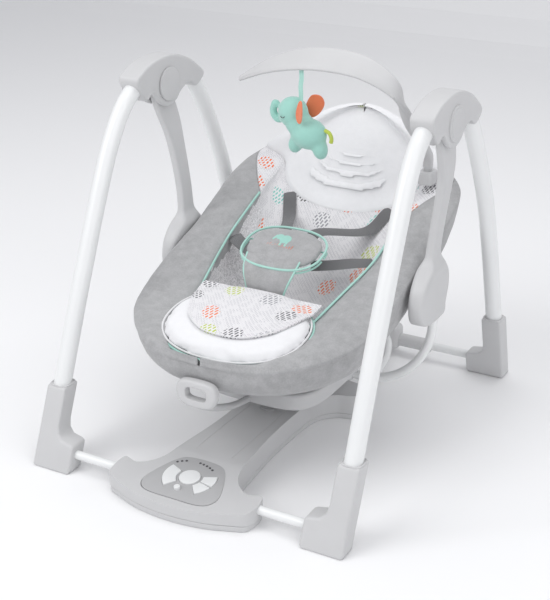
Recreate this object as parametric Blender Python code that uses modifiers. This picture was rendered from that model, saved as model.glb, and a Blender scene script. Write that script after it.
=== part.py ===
"""Portable baby swing: an A-frame with a hanging, reclining seat, a toy bar and a battery drive.

Metres, +Z up, +X to the sitter's left-hand side seen from the front, +Y to the back.
The origin is on the floor, under the seat, on the plane that halves the swing.
"""

import math

import bmesh
import bpy
from mathutils import Matrix, Vector

# Driving dimensions -----------------------------------------------------------------------------------

GAP = 0.0003                      # clearance between touching pieces

LEG_RADIUS = 0.0147
TUBE_WALL = 0.0012
CROSS_RADIUS = 0.0078             # thin tubes of the base
CARRIER_RADIUS = 0.0080           # bent tube under the seat

PIVOT_Y = 0.004                   # swing axis
PIVOT_Z = 0.573
HUB_X = 0.264                     # middle plane of a hub
HUB_HALF = 0.0205
HUB_SKIN = 0.0105                 # wall of a hub shell beside the swinging arm

FOOT_X = 0.270
FOOT_WIDTH = 0.037
FOOT_REACH = 0.215                # inner end of a foot's horizontal socket
FRONT_TUBE = (-0.346, 0.026)      # y and z of the front cross tubes
REAR_TUBE = (0.324, 0.030)

BASE_TOP = 0.047
BASE_SPLIT = 0.011                # height of the seam between bottom cover and top shell
BEAM_HALF = 0.053
BASE_WALL = 0.0028

PANEL_TILT = math.radians(8.0)
PANEL_PIVOT = (-0.276, BASE_TOP)  # y and z where the panel's slope begins
PANEL_THICK = 0.0024
BUTTON_RISE = 0.0030

CARRIER_X = 0.241                 # upright of the carrier tube
CARRIER_Y = 0.060
CARRIER_Z = 0.0745
CARRIER_BEND = 0.1305

TRAY_Z = (0.0880, 0.1180)
LUG_X = 0.085

SHELL_THICK = 0.008
LINER_THICK = 0.006
SECTION_POWER = 2.2               # how boxy the seat's cross-sections are

# Rim of the seat's outer shell, from the front tip to the top, and the keel below each rim point.
SEAT_RIM = [
    (0.0000, -0.300, 0.222), (0.0950, -0.288, 0.223), (0.1470, -0.250, 0.226), (0.1880, -0.200, 0.233),
    (0.2110, -0.140, 0.245), (0.2180, -0.060, 0.272), (0.2180, 0.030, 0.302), (0.2190, 0.110, 0.335),
    (0.2225, 0.175, 0.362), (0.2060, 0.238, 0.388), (0.1440, 0.271, 0.434), (0.0720, 0.284, 0.478),
    (0.0000, 0.290, 0.496),
]
SEAT_KEEL = [
    (-0.300, 0.222), (-0.290, 0.184), (-0.250, 0.158), (-0.200, 0.140), (-0.140, 0.129),
    (-0.060, 0.123), (0.030, 0.125), (0.115, 0.150), (0.185, 0.208), (0.235, 0.272),
    (0.275, 0.350), (0.292, 0.430), (0.290, 0.496),
]
LINER_KEEL = [
    (-0.276, 0.216), (-0.262, 0.217), (-0.226, 0.219), (-0.184, 0.223), (-0.130, 0.210),
    (-0.055, 0.192), (0.020, 0.205), (0.085, 0.250), (0.140, 0.302), (0.185, 0.350),
    (0.222, 0.400), (0.252, 0.446), (0.270, 0.478),
]
# Half width of the bowl inside the flat band along the rim, at each rim point.
BOWL_HALF = [0.000, 0.055, 0.092, 0.108, 0.111, 0.126, 0.141, 0.143, 0.142, 0.136, 0.094, 0.038, 0.000]

LIGHT_GREY = (0.72, 0.72, 0.73)
MID_GREY = (0.55, 0.55, 0.56)
WHITE = (0.90, 0.91, 0.91)
VELOUR = (0.46, 0.46, 0.47)
PRINT = (0.86, 0.85, 0.87)
MINT = (0.45, 0.72, 0.64)
WEBBING = (0.16, 0.16, 0.17)

# Scene and helpers ------------------------------------------------------------------------------------

for existing in list(bpy.data.objects):
    bpy.data.objects.remove(existing, do_unlink=True)


def collection(name):
    group = bpy.data.collections.new(name)
    bpy.context.scene.collection.children.link(group)
    return group


PARTS = collection("baby_swing")
CUTTERS = collection("cutters")


def material(name, colour, roughness, metallic=0.0):
    made = bpy.data.materials.new(name)
    made.use_nodes = True
    shader = made.node_tree.nodes["Principled BSDF"]
    shader.inputs["Base Color"].default_value = (*colour, 1.0)
    shader.inputs["Roughness"].default_value = roughness
    shader.inputs["Metallic"].default_value = metallic
    return made


FINISH = {
    "steel_white": ("painted_tube", WHITE, 0.35, 0.0),
    "plastic_light": ("light_plastic", LIGHT_GREY, 0.45, 0.0),
    "plastic_button": ("button_plastic", WHITE, 0.40, 0.0),
    "plastic_dark": ("dark_plastic", MID_GREY, 0.50, 0.0),
    "steel": ("bright_steel", (0.62, 0.63, 0.65), 0.30, 1.0),
    "board": ("circuit_board", (0.05, 0.26, 0.12), 0.50, 0.0),
    "copper": ("coil_winding", (0.70, 0.34, 0.18), 0.35, 1.0),
    "cell": ("battery_cell", (0.20, 0.21, 0.23), 0.35, 0.3),
    "velour": ("grey_velour", VELOUR, 0.95, 0.0),
    "print": ("printed_cotton", PRINT, 0.90, 0.0),
    "minky": ("white_minky", WHITE, 0.95, 0.0),
    "webbing": ("grey_webbing", WEBBING, 0.85, 0.0),
    "plush": ("mint_plush", MINT, 0.95, 0.0),
}


def paint(obj, finish):
    """Give the object its own material in the named finish."""
    base, colour, roughness, metallic = FINISH[finish]
    obj.data.materials.clear()
    obj.data.materials.append(material(f"{obj.name}_{base}", colour, roughness, metallic))


def place(name, mesh, group, finish=None):
    obj = bpy.data.objects.new(name, mesh)
    group.objects.link(obj)
    if finish:
        paint(obj, finish)
    return obj


def as_mesh(curve_object):
    """Turn a curve object into a welded mesh object of the same name and place."""
    bpy.context.view_layer.update()
    evaluated = curve_object.evaluated_get(bpy.context.evaluated_depsgraph_get())
    mesh = bpy.data.meshes.new_from_object(evaluated)
    name = curve_object.name
    matrix = curve_object.matrix_world.copy()
    group = curve_object.users_collection[0]
    bpy.data.objects.remove(curve_object, do_unlink=True)
    work = bmesh.new()
    work.from_mesh(mesh)
    bmesh.ops.remove_doubles(work, verts=work.verts, dist=0.00001)
    bmesh.ops.recalc_face_normals(work, faces=work.faces)
    work.to_mesh(mesh)
    work.free()
    mesh.transform(matrix)
    return place(name, mesh, group)


def from_bmesh(name, work, group, finish=None):
    mesh = bpy.data.meshes.new(name)
    work.to_mesh(mesh)
    work.free()
    return place(name, mesh, group, finish)


def smooth_route(points, steps):
    """Catmull-Rom points through the given ones, with this many steps in each stretch."""
    given = [Vector(point) for point in points]
    padded = [2 * given[0] - given[1]] + given + [2 * given[-1] - given[-2]]
    route = []
    for index in range(len(given) - 1):
        a, b, c, d = padded[index:index + 4]
        for step in range(steps):
            t = step / steps
            route.append(0.5 * (2 * b + (c - a) * t + (2 * a - 5 * b + 4 * c - d) * t * t
                                + (3 * b - a - 3 * c + d) * t * t * t))
    route.append(given[-1])
    return route


def tube(name, points, radius, group, finish=None, sides_level=4):
    """A round tube along a poly line, as a welded mesh."""
    curve = bpy.data.curves.new(name, "CURVE")
    curve.dimensions = "3D"
    curve.bevel_depth = radius
    curve.bevel_resolution = sides_level
    curve.use_fill_caps = True
    spline = curve.splines.new("POLY")
    spline.points.add(len(points) - 1)
    for point, where in zip(spline.points, points):
        point.co = (*where, 1.0)
    obj = as_mesh(place(name, curve, group))
    if finish:
        paint(obj, finish)
    return obj


def hollow_tube(name, points, radius, wall, group, finish, sides_level=4):
    """A round tube with open ends and a wall, along a poly line."""
    obj = tube(name, points, radius, group, finish, sides_level)
    work = bmesh.new()
    work.from_mesh(obj.data)
    caps = [face for face in work.faces if len(face.verts) != 4]
    bmesh.ops.delete(work, geom=caps, context="FACES_ONLY")
    work.to_mesh(obj.data)
    work.free()
    skin = obj.modifiers.new("wall", "SOLIDIFY")
    skin.thickness = wall
    skin.offset = -1.0
    return obj


def plate(name, outline, low, high, group, finish=None, rounding=0.0, axes="XY", resolution=3,
          straight=False):
    """A flat outline with thickness from low to high, across the XY plane or across the YZ or XZ plane."""
    curve = bpy.data.curves.new(name, "CURVE")
    curve.dimensions = "2D"
    curve.fill_mode = "BOTH"
    curve.resolution_u = resolution
    curve.extrude = (high - low) / 2 - rounding
    curve.bevel_depth = rounding
    curve.bevel_resolution = 1
    curve.offset = -rounding
    if straight:
        spline = curve.splines.new("POLY")
        spline.points.add(len(outline) - 1)
        for point, where in zip(spline.points, outline):
            point.co = (where[0], where[1], 0.0, 1.0)
    else:
        spline = curve.splines.new("BEZIER")
        spline.bezier_points.add(len(outline) - 1)
        for point, where in zip(spline.bezier_points, outline):
            point.co = (where[0], where[1], 0.0)
            point.handle_left_type = "AUTO"
            point.handle_right_type = "AUTO"
    spline.use_cyclic_u = True
    middle = (low + high) / 2
    turn = {
        "XY": Matrix.Translation((0, 0, middle)),
        "YZ": Matrix(((0, 0, 1, middle), (1, 0, 0, 0), (0, 1, 0, 0), (0, 0, 0, 1))),
        "XZ": Matrix(((1, 0, 0, 0), (0, 0, -1, middle), (0, 1, 0, 0), (0, 0, 0, 1))),
    }[axes]
    obj = place(name, curve, group)
    obj.matrix_world = turn
    obj = as_mesh(obj)
    if finish:
        paint(obj, finish)
    return obj


def box(name, low, high, group, finish=None, rounding=0.0, segments=2):
    low = Vector(low)
    high = Vector(high)
    work = bmesh.new()
    bmesh.ops.create_cube(work, size=1.0, matrix=Matrix.Translation((low + high) / 2)
                          @ Matrix.Diagonal((*(high - low), 1.0)))
    if rounding:
        bmesh.ops.bevel(work, geom=work.edges[:], offset=rounding, segments=segments, profile=0.5,
                        affect="EDGES", clamp_overlap=True)
    return from_bmesh(name, work, group, finish)


def rod(name, start, end, radius, group, finish=None, sides=16, end_radius=None):
    """A cylinder or cone between two points."""
    start = Vector(start)
    end = Vector(end)
    work = bmesh.new()
    turn = (end - start).to_track_quat("Z", "Y").to_matrix().to_4x4()
    bmesh.ops.create_cone(work, cap_ends=True, segments=sides, radius1=radius,
                          radius2=radius if end_radius is None else end_radius,
                          depth=(end - start).length,
                          matrix=Matrix.Translation((start + end) / 2) @ turn)
    return from_bmesh(name, work, group, finish)


def boolean(obj, tool, operation):
    """Apply a Boolean with the exact solver, and keep the tool as a hidden guide."""
    step = obj.modifiers.new(operation.lower(), "BOOLEAN")
    step.operation = operation
    step.object = tool
    step.solver = "EXACT"
    bpy.context.view_layer.update()
    evaluated = obj.evaluated_get(bpy.context.evaluated_depsgraph_get())
    mesh = bpy.data.meshes.new_from_object(evaluated)
    obj.modifiers.clear()
    old = obj.data
    obj.data = mesh
    bpy.data.meshes.remove(old)
    tool.hide_render = True
    tool.display_type = "WIRE"
    if tool.name not in CUTTERS.objects:
        for group in list(tool.users_collection):
            group.objects.unlink(tool)
        CUTTERS.objects.link(tool)


def cut(obj, *tools):
    for tool in tools:
        boolean(obj, tool, "DIFFERENCE")


def join(obj, *tools):
    for tool in tools:
        boolean(obj, tool, "UNION")


def loft(name, rings, group, finish=None, closed_rings=True):
    """A closed body through rings of equal length, capped at both ends."""
    work = bmesh.new()
    rows = [[work.verts.new(point) for point in ring] for ring in rings]
    count = len(rows[0])
    for first, second in zip(rows, rows[1:]):
        for index in range(count if closed_rings else count - 1):
            following = (index + 1) % count
            work.faces.new((first[index], first[following], second[following], second[index]))
    work.faces.new(rows[0][::-1])
    work.faces.new(rows[-1])
    bmesh.ops.recalc_face_normals(work, faces=work.faces)
    return from_bmesh(name, work, group, finish)


def ribbon(name, route, across, width, thick, finish):
    """A flat strap along a route; across is the direction of its width."""
    across = Vector(across).normalized()
    rings = []
    for index, here in enumerate(route):
        ahead = route[min(index + 1, len(route) - 1)] - route[max(index - 1, 0)]
        normal = ahead.cross(across).normalized()
        side = across * width / 2
        lift = normal * thick / 2
        rings.append([here - side - lift, here + side - lift, here + side + lift, here - side + lift])
    return loft(name, rings, PARTS, finish)


def rounded_rectangle(half_x, half_y, corner, steps=3, centre=(0.0, 0.0)):
    """Outline points of a rectangle with round corners."""
    points = []
    for turn, (sign_x, sign_y) in enumerate([(1, 1), (-1, 1), (-1, -1), (1, -1)]):
        for step in range(steps + 1):
            angle = math.pi / 2 * (turn + step / steps)
            points.append((centre[0] + sign_x * (half_x - corner) + corner * math.cos(angle),
                           centre[1] + sign_y * (half_y - corner) + corner * math.sin(angle)))
    return points


def sided(points, side):
    """Mirror points across the middle plane for the left side."""
    return [(side * x, y, z) for x, y, z in points]


SIDES = {"left": -1, "right": 1}

# Legs, feet and base tubes ----------------------------------------------------------------------------

FRONT_LEG = [(0.2700, -0.3300, 0.0620), (0.2700, -0.3020, 0.1280), (0.2685, -0.2350, 0.2930),
             (0.2670, -0.1660, 0.4500), (0.2655, -0.1330, 0.5130), (0.2645, -0.1060, 0.5500),
             (0.2640, -0.0820, 0.5700), (0.2640, -0.0640, 0.5800)]
REAR_LEG = [(0.2700, 0.3110, 0.0660), (0.2700, 0.2910, 0.1330), (0.2685, 0.2470, 0.2800),
            (0.2670, 0.2140, 0.3760), (0.2655, 0.1720, 0.4620), (0.2645, 0.1310, 0.5300),
            (0.2640, 0.1000, 0.5720)]


def leg_route(leg, side):
    return [Vector(point) for point in sided(leg, side)]


def legs():
    for side_name, side in SIDES.items():
        for leg_name, leg in (("front", FRONT_LEG), ("rear", REAR_LEG)):
            hollow_tube(f"{leg_name}_leg_{side_name}", leg_route(leg, side), LEG_RADIUS, TUBE_WALL, PARTS,
                        "steel_white")


def foot(name, side, leg, tube_place):
    """An L-shaped corner socket: upright for the leg, level for the thin cross tube."""
    lean = (leg[1][1] - leg[0][1]) / (leg[1][2] - leg[0][2])
    at_floor = leg[0][1] - lean * leg[0][2]
    half = FOOT_WIDTH / 2
    top = leg[1][2]
    outer = FOOT_X + half
    inner = FOOT_X - half
    outline = [(outer - 0.006, 0.0), (outer, 0.006), (outer, top - 0.003), (outer - 0.003, top),
               (inner + 0.003, top), (inner, top - 0.003), (inner, 0.066),
               (inner - 0.004, 0.054), (inner - 0.013, 0.047), (FOOT_REACH + 0.003, 0.045),
               (FOOT_REACH, 0.042), (FOOT_REACH, 0.006), (FOOT_REACH + 0.006, 0.0)]
    body = plate(name, [(side * x, z) for x, z in outline], -half, half, PARTS, None, 0.008, "XZ",
                 straight=True)
    body.data.transform(Matrix.Translation((0, at_floor, 0)) @ Matrix.Shear("XY", 4, (0, lean)))
    bore = grown_tube(f"{name}_leg_bore", leg_route(leg, side), LEG_RADIUS)
    y, z = tube_place
    side_bore = rod(f"{name}_tube_bore", (side * (FOOT_X - 0.025), y, z),
                    (side * (FOOT_REACH - 0.02), y, z),
                    CROSS_RADIUS + GAP, CUTTERS, sides=16)
    cut(body, bore, side_bore)
    paint(body, "plastic_light")


def feet():
    for side_name, side in SIDES.items():
        foot(f"front_foot_{side_name}", side, FRONT_LEG, FRONT_TUBE)
        foot(f"rear_foot_{side_name}", side, REAR_LEG, REAR_TUBE)


WING_END = 0.130                  # end of the T-shaped housing's wing
WING_SOCKET = 0.106
SLEEVE_END = 0.135
SLEEVE_SOCKET = 0.112
RAIL = [(0.0520, 0.3020, 0.0400), (0.0700, 0.2700, 0.0385), (0.0860, 0.2200, 0.0330),
        (0.0900, 0.1600, 0.0280), (0.0820, 0.0780, 0.0260)]
RAIL_RADIUS = 0.0065


def grown_tube(name, route, radius):
    """A cutter for the seat of a tube: the same route, wider and longer by the gap."""
    start = (route[0] - route[1]).normalized() * GAP
    end = (route[-1] - route[-2]).normalized() * GAP
    return tube(name, [route[0] + start] + route[1:-1] + [route[-1] + end], radius + GAP, CUTTERS, None,
                2 if radius < 0.007 else 4)


def rail_route(side):
    return smooth_route(sided(RAIL, side), 1)


def base_tubes():
    for side_name, side in SIDES.items():
        for end_name, place_yz, socket in (("front", FRONT_TUBE, WING_SOCKET),
                                           ("rear", REAR_TUBE, SLEEVE_SOCKET)):
            hollow_tube(f"{end_name}_cross_tube_{side_name}",
                        [(side * (FOOT_X - 0.0255), *place_yz), (side * (socket + GAP), *place_yz)],
                        CROSS_RADIUS, TUBE_WALL, PARTS, "steel_white")
        hollow_tube(f"base_rail_{side_name}", rail_route(side), RAIL_RADIUS, TUBE_WALL, PARTS,
                    "steel_white", 2)


# Base housing -----------------------------------------------------------------------------------------

BASE_HALF = [(0.000, -0.408), (0.058, -0.402), (0.104, -0.387), (WING_END, -0.372), (WING_END, -0.330),
             (0.104, -0.334), (0.080, -0.318), (0.066, -0.290), (0.060, -0.240), (BEAM_HALF, -0.160),
             (BEAM_HALF, -0.060), (0.060, -0.010), (0.082, 0.018), (0.112, 0.030), (0.118, 0.050),
             (0.108, 0.074), (0.070, 0.082), (0.000, 0.084)]


def mirrored(half):
    """A closed outline from a half that runs from the front of the middle line to its back."""
    return half + [(-x, y) for x, y in reversed(half) if x > 0.0001]


def panel_matrix():
    """Panel space (x, y along the slope, z off it) to the world."""
    return (Matrix.Translation((0, PANEL_PIVOT[0], PANEL_PIVOT[1])) @ Matrix.Rotation(PANEL_TILT, 4, "X")
            @ Matrix.Translation((0, -PANEL_PIVOT[0], 0)))


PANEL = [(0.000, -0.392), (0.050, -0.390), (0.068, -0.374), (0.066, -0.348), (0.046, -0.304),
         (0.024, -0.290), (-0.024, -0.290), (-0.046, -0.304), (-0.066, -0.348), (-0.068, -0.374),
         (-0.050, -0.390)]
ROUND_BUTTON = (0.000, -0.336, 0.0175)
KNOB = (-0.004, -0.3675, 0.0052)


def leaf(side, low, high):
    """Outline of a button beside the round one: straight outside, hollow towards the round button."""
    angles = [math.radians(low + (high - low) * step / 5) for step in range(6)]
    clear = ROUND_BUTTON[2] + 0.0045
    inner = [(side * clear * math.cos(a), ROUND_BUTTON[1] + clear * math.sin(a)) for a in angles]
    outer = [(side * (clear + 0.0235 * math.cos(a * 0.6)) * math.cos(a),
              ROUND_BUTTON[1] + (clear + 0.0235) * math.sin(a)) for a in reversed(angles)]
    return inner + outer


BUTTONS = {
    "timer_button": leaf(-1, -48, 22),
    "sound_button": leaf(1, -10, 22),
    "volume_button": leaf(1, -48, -14),
}


def round_outline(circle, count):
    x, y, radius = circle
    return [(x + radius * math.cos(2 * math.pi * n / count),
             y + radius * math.sin(2 * math.pi * n / count))
            for n in range(count)]


BUTTONS["speed_button"] = round_outline(ROUND_BUTTON, 20)
BUTTONS["power_knob"] = round_outline(KNOB, 10)


def grown(outline, amount):
    """The outline moved outwards by an amount, about its own middle."""
    count = len(outline)
    area = sum(outline[i - 1][0] * outline[i][1] - outline[i][0] * outline[i - 1][1] for i in range(count))
    sense = 1 if area > 0 else -1
    moved = []
    for index in range(count):
        before = Vector(outline[index]) - Vector(outline[index - 1])
        after = Vector(outline[(index + 1) % count]) - Vector(outline[index])
        normals = [Vector((edge.y, -edge.x)).normalized() * sense for edge in (before, after)]
        corner = (normals[0] + normals[1]).normalized()
        stretch = amount / max(corner.dot(normals[0]), 0.35)
        moved.append(tuple(Vector(outline[index]) + corner * stretch))
    return moved


def base():
    outline = mirrored(BASE_HALF)
    top = plate("base_top_shell", outline, BASE_SPLIT + GAP, BASE_TOP + 0.001, PARTS, None, 0.0, "XY", 2)
    work = bmesh.new()
    work.from_mesh(top.data)
    slope = Matrix.Rotation(PANEL_TILT, 3, "X") @ Vector((0, 0, 1))
    for where, normal in (((0, PANEL_PIVOT[0], BASE_TOP), slope), ((0, 0, BASE_TOP), Vector((0, 0, 1)))):
        cutting = bmesh.ops.bisect_plane(work, geom=work.verts[:] + work.edges[:] + work.faces[:],
                                         dist=0.000001, plane_co=where, plane_no=normal, clear_outer=True)
        rim = [piece for piece in cutting["geom_cut"] if isinstance(piece, bmesh.types.BMEdge)]
        bmesh.ops.triangle_fill(work, edges=rim, use_beauty=True, use_dissolve=True)
    bmesh.ops.remove_doubles(work, verts=work.verts, dist=0.00001)
    bmesh.ops.recalc_face_normals(work, faces=work.faces)
    work.to_mesh(top.data)
    work.free()

    inside = box("base_hollow", (-0.046, -0.250, BASE_SPLIT - 0.002), (0.046, 0.022, BASE_TOP - 0.004),
                 CUTTERS)
    well = plate("panel_well", PANEL, -0.0185, 0.010, CUTTERS, None, 0.0, "XY", 2)
    well.data.transform(panel_matrix())
    front_inside = box("wing_hollow", (-0.060, -0.384, BASE_SPLIT - 0.002), (0.060, -0.2505, 0.0235),
                       CUTTERS)
    tools = [inside, front_inside]
    for side_name, side in SIDES.items():
        tools.append(rod(f"wing_bore_{side_name}", (side * WING_SOCKET, *FRONT_TUBE),
                         (side * (WING_END + 0.02), *FRONT_TUBE), CROSS_RADIUS + GAP, CUTTERS, sides=16))
        tools.append(grown_tube(f"rail_bore_{side_name}", rail_route(side), RAIL_RADIUS))
    lock_bore = rod("lock_bore", (0, -0.084, 0.030), (0, -0.084, 0.060), 0.0115, CUTTERS, sides=20)
    lock_bore.data.transform(Matrix.Translation((0, -0.084, 0)) @ Matrix.Diagonal((1.25, 0.75, 1, 1))
                             @ Matrix.Translation((0, 0.084, 0)))
    cut(top, *tools, well, lock_bore)
    paint(top, "plastic_light")

    bottom = plate("base_bottom_cover", outline, 0.0, BASE_SPLIT, PARTS, None, 0.0, "XY", 2)
    cells_well = box("cells_well", (-0.0445, -0.190, BASE_WALL + 0.002),
                     (0.0445, -0.070, BASE_SPLIT + 0.001), CUTTERS)
    door_well = box("door_well", (-0.0405, -0.1865, -0.001), (0.0405, -0.0735, BASE_WALL), CUTTERS)
    cut(bottom, cells_well, door_well)
    paint(bottom, "plastic_light")
    box("battery_door", (-0.0402, -0.1862, 0.0), (0.0402, -0.0738, BASE_WALL - GAP), PARTS,
        "plastic_light")
    for number in range(4):
        x = -0.0165 if number % 2 == 0 else 0.0165
        y = -0.158 if number < 2 else -0.103
        rod(f"battery_cell_{number + 1}", (x, y - 0.025, 0.0185), (x, y + 0.025, 0.0185), 0.0131, PARTS,
            "cell", 12)
    box("circuit_board", (-0.040, -0.376, BASE_SPLIT + 0.0012), (0.040, -0.276, BASE_SPLIT + 0.0028),
        PARTS, "board")
    coil = rod("drive_coil", (0, -0.014, BASE_SPLIT + GAP), (0, -0.014, 0.034), 0.026, PARTS, None, 24)
    cut(coil, rod("coil_core", (0, -0.014, 0.0), (0, -0.014, 0.06), 0.010, CUTTERS, None, 16))
    paint(coil, "copper")


def controls():
    """The panel plate, its buttons on short stems, and the lock button in the beam."""
    panel = plate("control_panel", grown(PANEL, -GAP), -PANEL_THICK, 0.0010, PARTS, None, 0.0, "XY", 2)
    for name, outline in BUTTONS.items():
        hole = plate(f"{name}_hole", grown(outline, GAP), -0.010, 0.010, CUTTERS, None, 0.0, "XY",
                     straight=True)
        cut(panel, hole)
    panel.data.transform(panel_matrix())
    paint(panel, "plastic_dark")
    for name, outline in BUTTONS.items():
        rise = BUTTON_RISE + (0.003 if name == "power_knob" else 0.0)
        button = plate(name, outline, -0.0042, rise, PARTS, None, 0.0, "XY", straight=True)
        work = bmesh.new()
        work.from_mesh(button.data)
        crown = [edge for edge in work.edges if all(vert.co.z > rise - 0.0001 for vert in edge.verts)
                 and len(edge.link_faces) == 2 and abs(edge.calc_face_angle(0)) > 0.8]
        bmesh.ops.bevel(work, geom=crown, offset=0.0010, segments=1, profile=0.5, affect="EDGES")
        work.to_mesh(button.data)
        work.free()
        button.data.transform(panel_matrix())
        paint(button, "plastic_button")
    lock = rod("lock_button", (0, 0, 0.0405), (0, 0, BASE_TOP + 0.0022), 0.0112, PARTS, None, 20)
    lock.data.transform(Matrix.Translation((0, -0.084, 0)) @ Matrix.Diagonal((1.25, 0.75, 1, 1)))
    paint(lock, "plastic_dark")


def rear_housing():
    """The rounded rear housing with a sleeve for each rear cross tube."""
    y, z = REAR_TUBE
    body = box("rear_housing", (-0.072, y - 0.025, 0.012), (0.072, y + 0.023, 0.060), PARTS, None,
               0.015, 2)
    tools = []
    for side_name, side in SIDES.items():
        tools.append(rod(f"sleeve_{side_name}", (side * 0.060, y, z), (side * SLEEVE_END, y, z), 0.0135,
                         CUTTERS, sides=20, end_radius=0.0120))
    join(body, *tools)
    bores = []
    for side_name, side in SIDES.items():
        bores.append(rod(f"sleeve_bore_{side_name}", (side * SLEEVE_SOCKET, y, z), (side * 0.16, y, z),
                         CROSS_RADIUS + GAP, CUTTERS, sides=16))
        bores.append(grown_tube(f"rail_seat_{side_name}", rail_route(side), RAIL_RADIUS))
    cut(body, *bores)
    paint(body, "plastic_light")


# Hubs -------------------------------------------------------------------------------------------------

HUB = [(-0.0865, 0.5935), (-0.070, 0.6070), (-0.045, 0.6165), (-0.010, 0.6215), (0.030, 0.6195),
       (0.070, 0.6060), (0.100, 0.5880), (0.1215, 0.5680), (0.0950, 0.5500), (0.0720, 0.5610),
       (0.0450, 0.5520), (0.0300, 0.5390), (0.0060, 0.5330), (-0.0180, 0.5420), (-0.0400, 0.5640),
       (-0.0520, 0.5590), (-0.0645, 0.5570)]


def hub_half(name, side, near, far):
    """One shell of a hub, from the middle plane at near to the face at far."""
    low, high = sorted((side * near, side * far))
    body = plate(name, HUB, low, high, PARTS, None, 0.0, "YZ", 2)
    inward = 1 if far > near else -1
    wall = far - inward * HUB_SKIN
    past = near - inward * 0.004
    pocket_low, pocket_high = sorted((side * wall, side * past))
    swing_room = box(f"{name}_arm_room", (pocket_low, -0.046, 0.500), (pocket_high, 0.062, PIVOT_Z),
                     CUTTERS)
    ends = sorted((side * wall, side * past))
    round_room = rod(f"{name}_ring_room", (ends[0], PIVOT_Y, PIVOT_Z), (ends[1], PIVOT_Y, PIVOT_Z),
                     0.034, CUTTERS)
    tools = [swing_room, round_room]
    for leg_name, leg in (("front", FRONT_LEG), ("rear", REAR_LEG)):
        tools.append(grown_tube(f"{name}_{leg_name}_leg_bore", leg_route(leg, side), LEG_RADIUS))
    tools.append(rod(f"{name}_shaft_bore", (side * 0.22, PIVOT_Y, PIVOT_Z),
                     (side * 0.31, PIVOT_Y, PIVOT_Z),
                     0.0060 + GAP, CUTTERS))
    cut(body, *tools)
    paint(body, "plastic_light")


def hubs():
    for side_name, side in SIDES.items():
        hub_half(f"hub_outer_shell_{side_name}", side, HUB_X + GAP / 2, HUB_X + HUB_HALF)
        hub_half(f"hub_inner_shell_{side_name}", side, HUB_X - GAP / 2, HUB_X - HUB_HALF)
        face = HUB_X + HUB_HALF
        shaft = rod(f"pivot_shaft_{side_name}", (side * (HUB_X - HUB_HALF + 0.001), PIVOT_Y, PIVOT_Z),
                    (side * (face + 0.002), PIVOT_Y, PIVOT_Z), 0.0060, PARTS)
        join(shaft, rod(f"cap_{side_name}", (side * (face + GAP), PIVOT_Y, PIVOT_Z),
                        (side * (face + 0.0042), PIVOT_Y, PIVOT_Z), 0.0290, CUTTERS, sides=20,
                        end_radius=0.0270))
        paint(shaft, "plastic_light")
        inner = HUB_X - HUB_HALF
        rod(f"hub_inner_cap_{side_name}", (side * (inner - GAP), PIVOT_Y, PIVOT_Z),
            (side * (inner - 0.0042), PIVOT_Y, PIVOT_Z), 0.0290, PARTS, "plastic_light", 20, 0.0270)


# Carrier: arms, bent tube and magnet ------------------------------------------------------------------

ARM_FRONT = [(-0.0190, 0.5730), (-0.0150, 0.5500), (-0.0030, 0.5200), (0.0130, 0.4850), (0.0220, 0.4500),
             (0.0270, 0.4000), (0.0270, 0.3500), (0.0200, 0.3250), (-0.0050, 0.3050), (-0.0200, 0.2850),
             (-0.0240, 0.2550), (-0.0120, 0.2300)]
ARM_BACK = [(0.0500, 0.2190), (0.0820, 0.2260), (0.0860, 0.2450), (0.0960, 0.2700), (0.0920, 0.2960),
            (0.0740, 0.3180), (0.0620, 0.3400), (0.0610, 0.3800), (0.0600, 0.4300), (0.0590, 0.4700),
            (0.0560, 0.5000), (0.0460, 0.5300), (0.0320, 0.5550), (0.0260, 0.5730), (0.0210, 0.5850),
            (0.0040, 0.5960), (-0.0130, 0.5870)]
HOUSING = [(-0.0050, 0.3050), (-0.0210, 0.2850), (-0.0250, 0.2550), (-0.0130, 0.2300), (0.0200, 0.2190),
           (0.0500, 0.2180), (0.0820, 0.2250), (0.0870, 0.2450), (0.0970, 0.2700), (0.0930, 0.2960),
           (0.0740, 0.3170), (0.0450, 0.3260), (0.0180, 0.3220)]
ARM_HALF = 0.0085
HOUSING_HALF = 0.0165


def arm_offset(z):
    """How far an arm stands inwards from the hub's middle plane at a height."""
    fraction = min(max((0.545 - z) / 0.230, 0.0), 1.0)
    return (HUB_X - CARRIER_X) * fraction * fraction * (3 - 2 * fraction)


def arms():
    for side_name, side in SIDES.items():
        arm = plate(f"swing_arm_{side_name}", ARM_FRONT + ARM_BACK, -ARM_HALF, ARM_HALF, PARTS, None, 0.0,
                    "YZ", 2)
        for vertex in arm.data.vertices:
            vertex.co.x = side * (HUB_X - arm_offset(vertex.co.z)) + vertex.co.x
        housing = plate(f"arm_housing_{side_name}", HOUSING, side * CARRIER_X - HOUSING_HALF,
                        side * CARRIER_X + HOUSING_HALF, CUTTERS, None, 0.004, "YZ", 1)
        join(arm, housing)
        shaft_bore = rod(f"arm_bore_{side_name}", (side * 0.22, PIVOT_Y, PIVOT_Z),
                         (side * 0.31, PIVOT_Y, PIVOT_Z),
                         0.0065, CUTTERS)
        tube_bore = rod(f"arm_tube_bore_{side_name}", (side * CARRIER_X, CARRIER_Y, 0.2755),
                        (side * CARRIER_X, CARRIER_Y, 0.19), CARRIER_RADIUS + GAP, CUTTERS)
        cut(arm, shaft_bore, tube_bore)
        paint(arm, "plastic_light")


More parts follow.
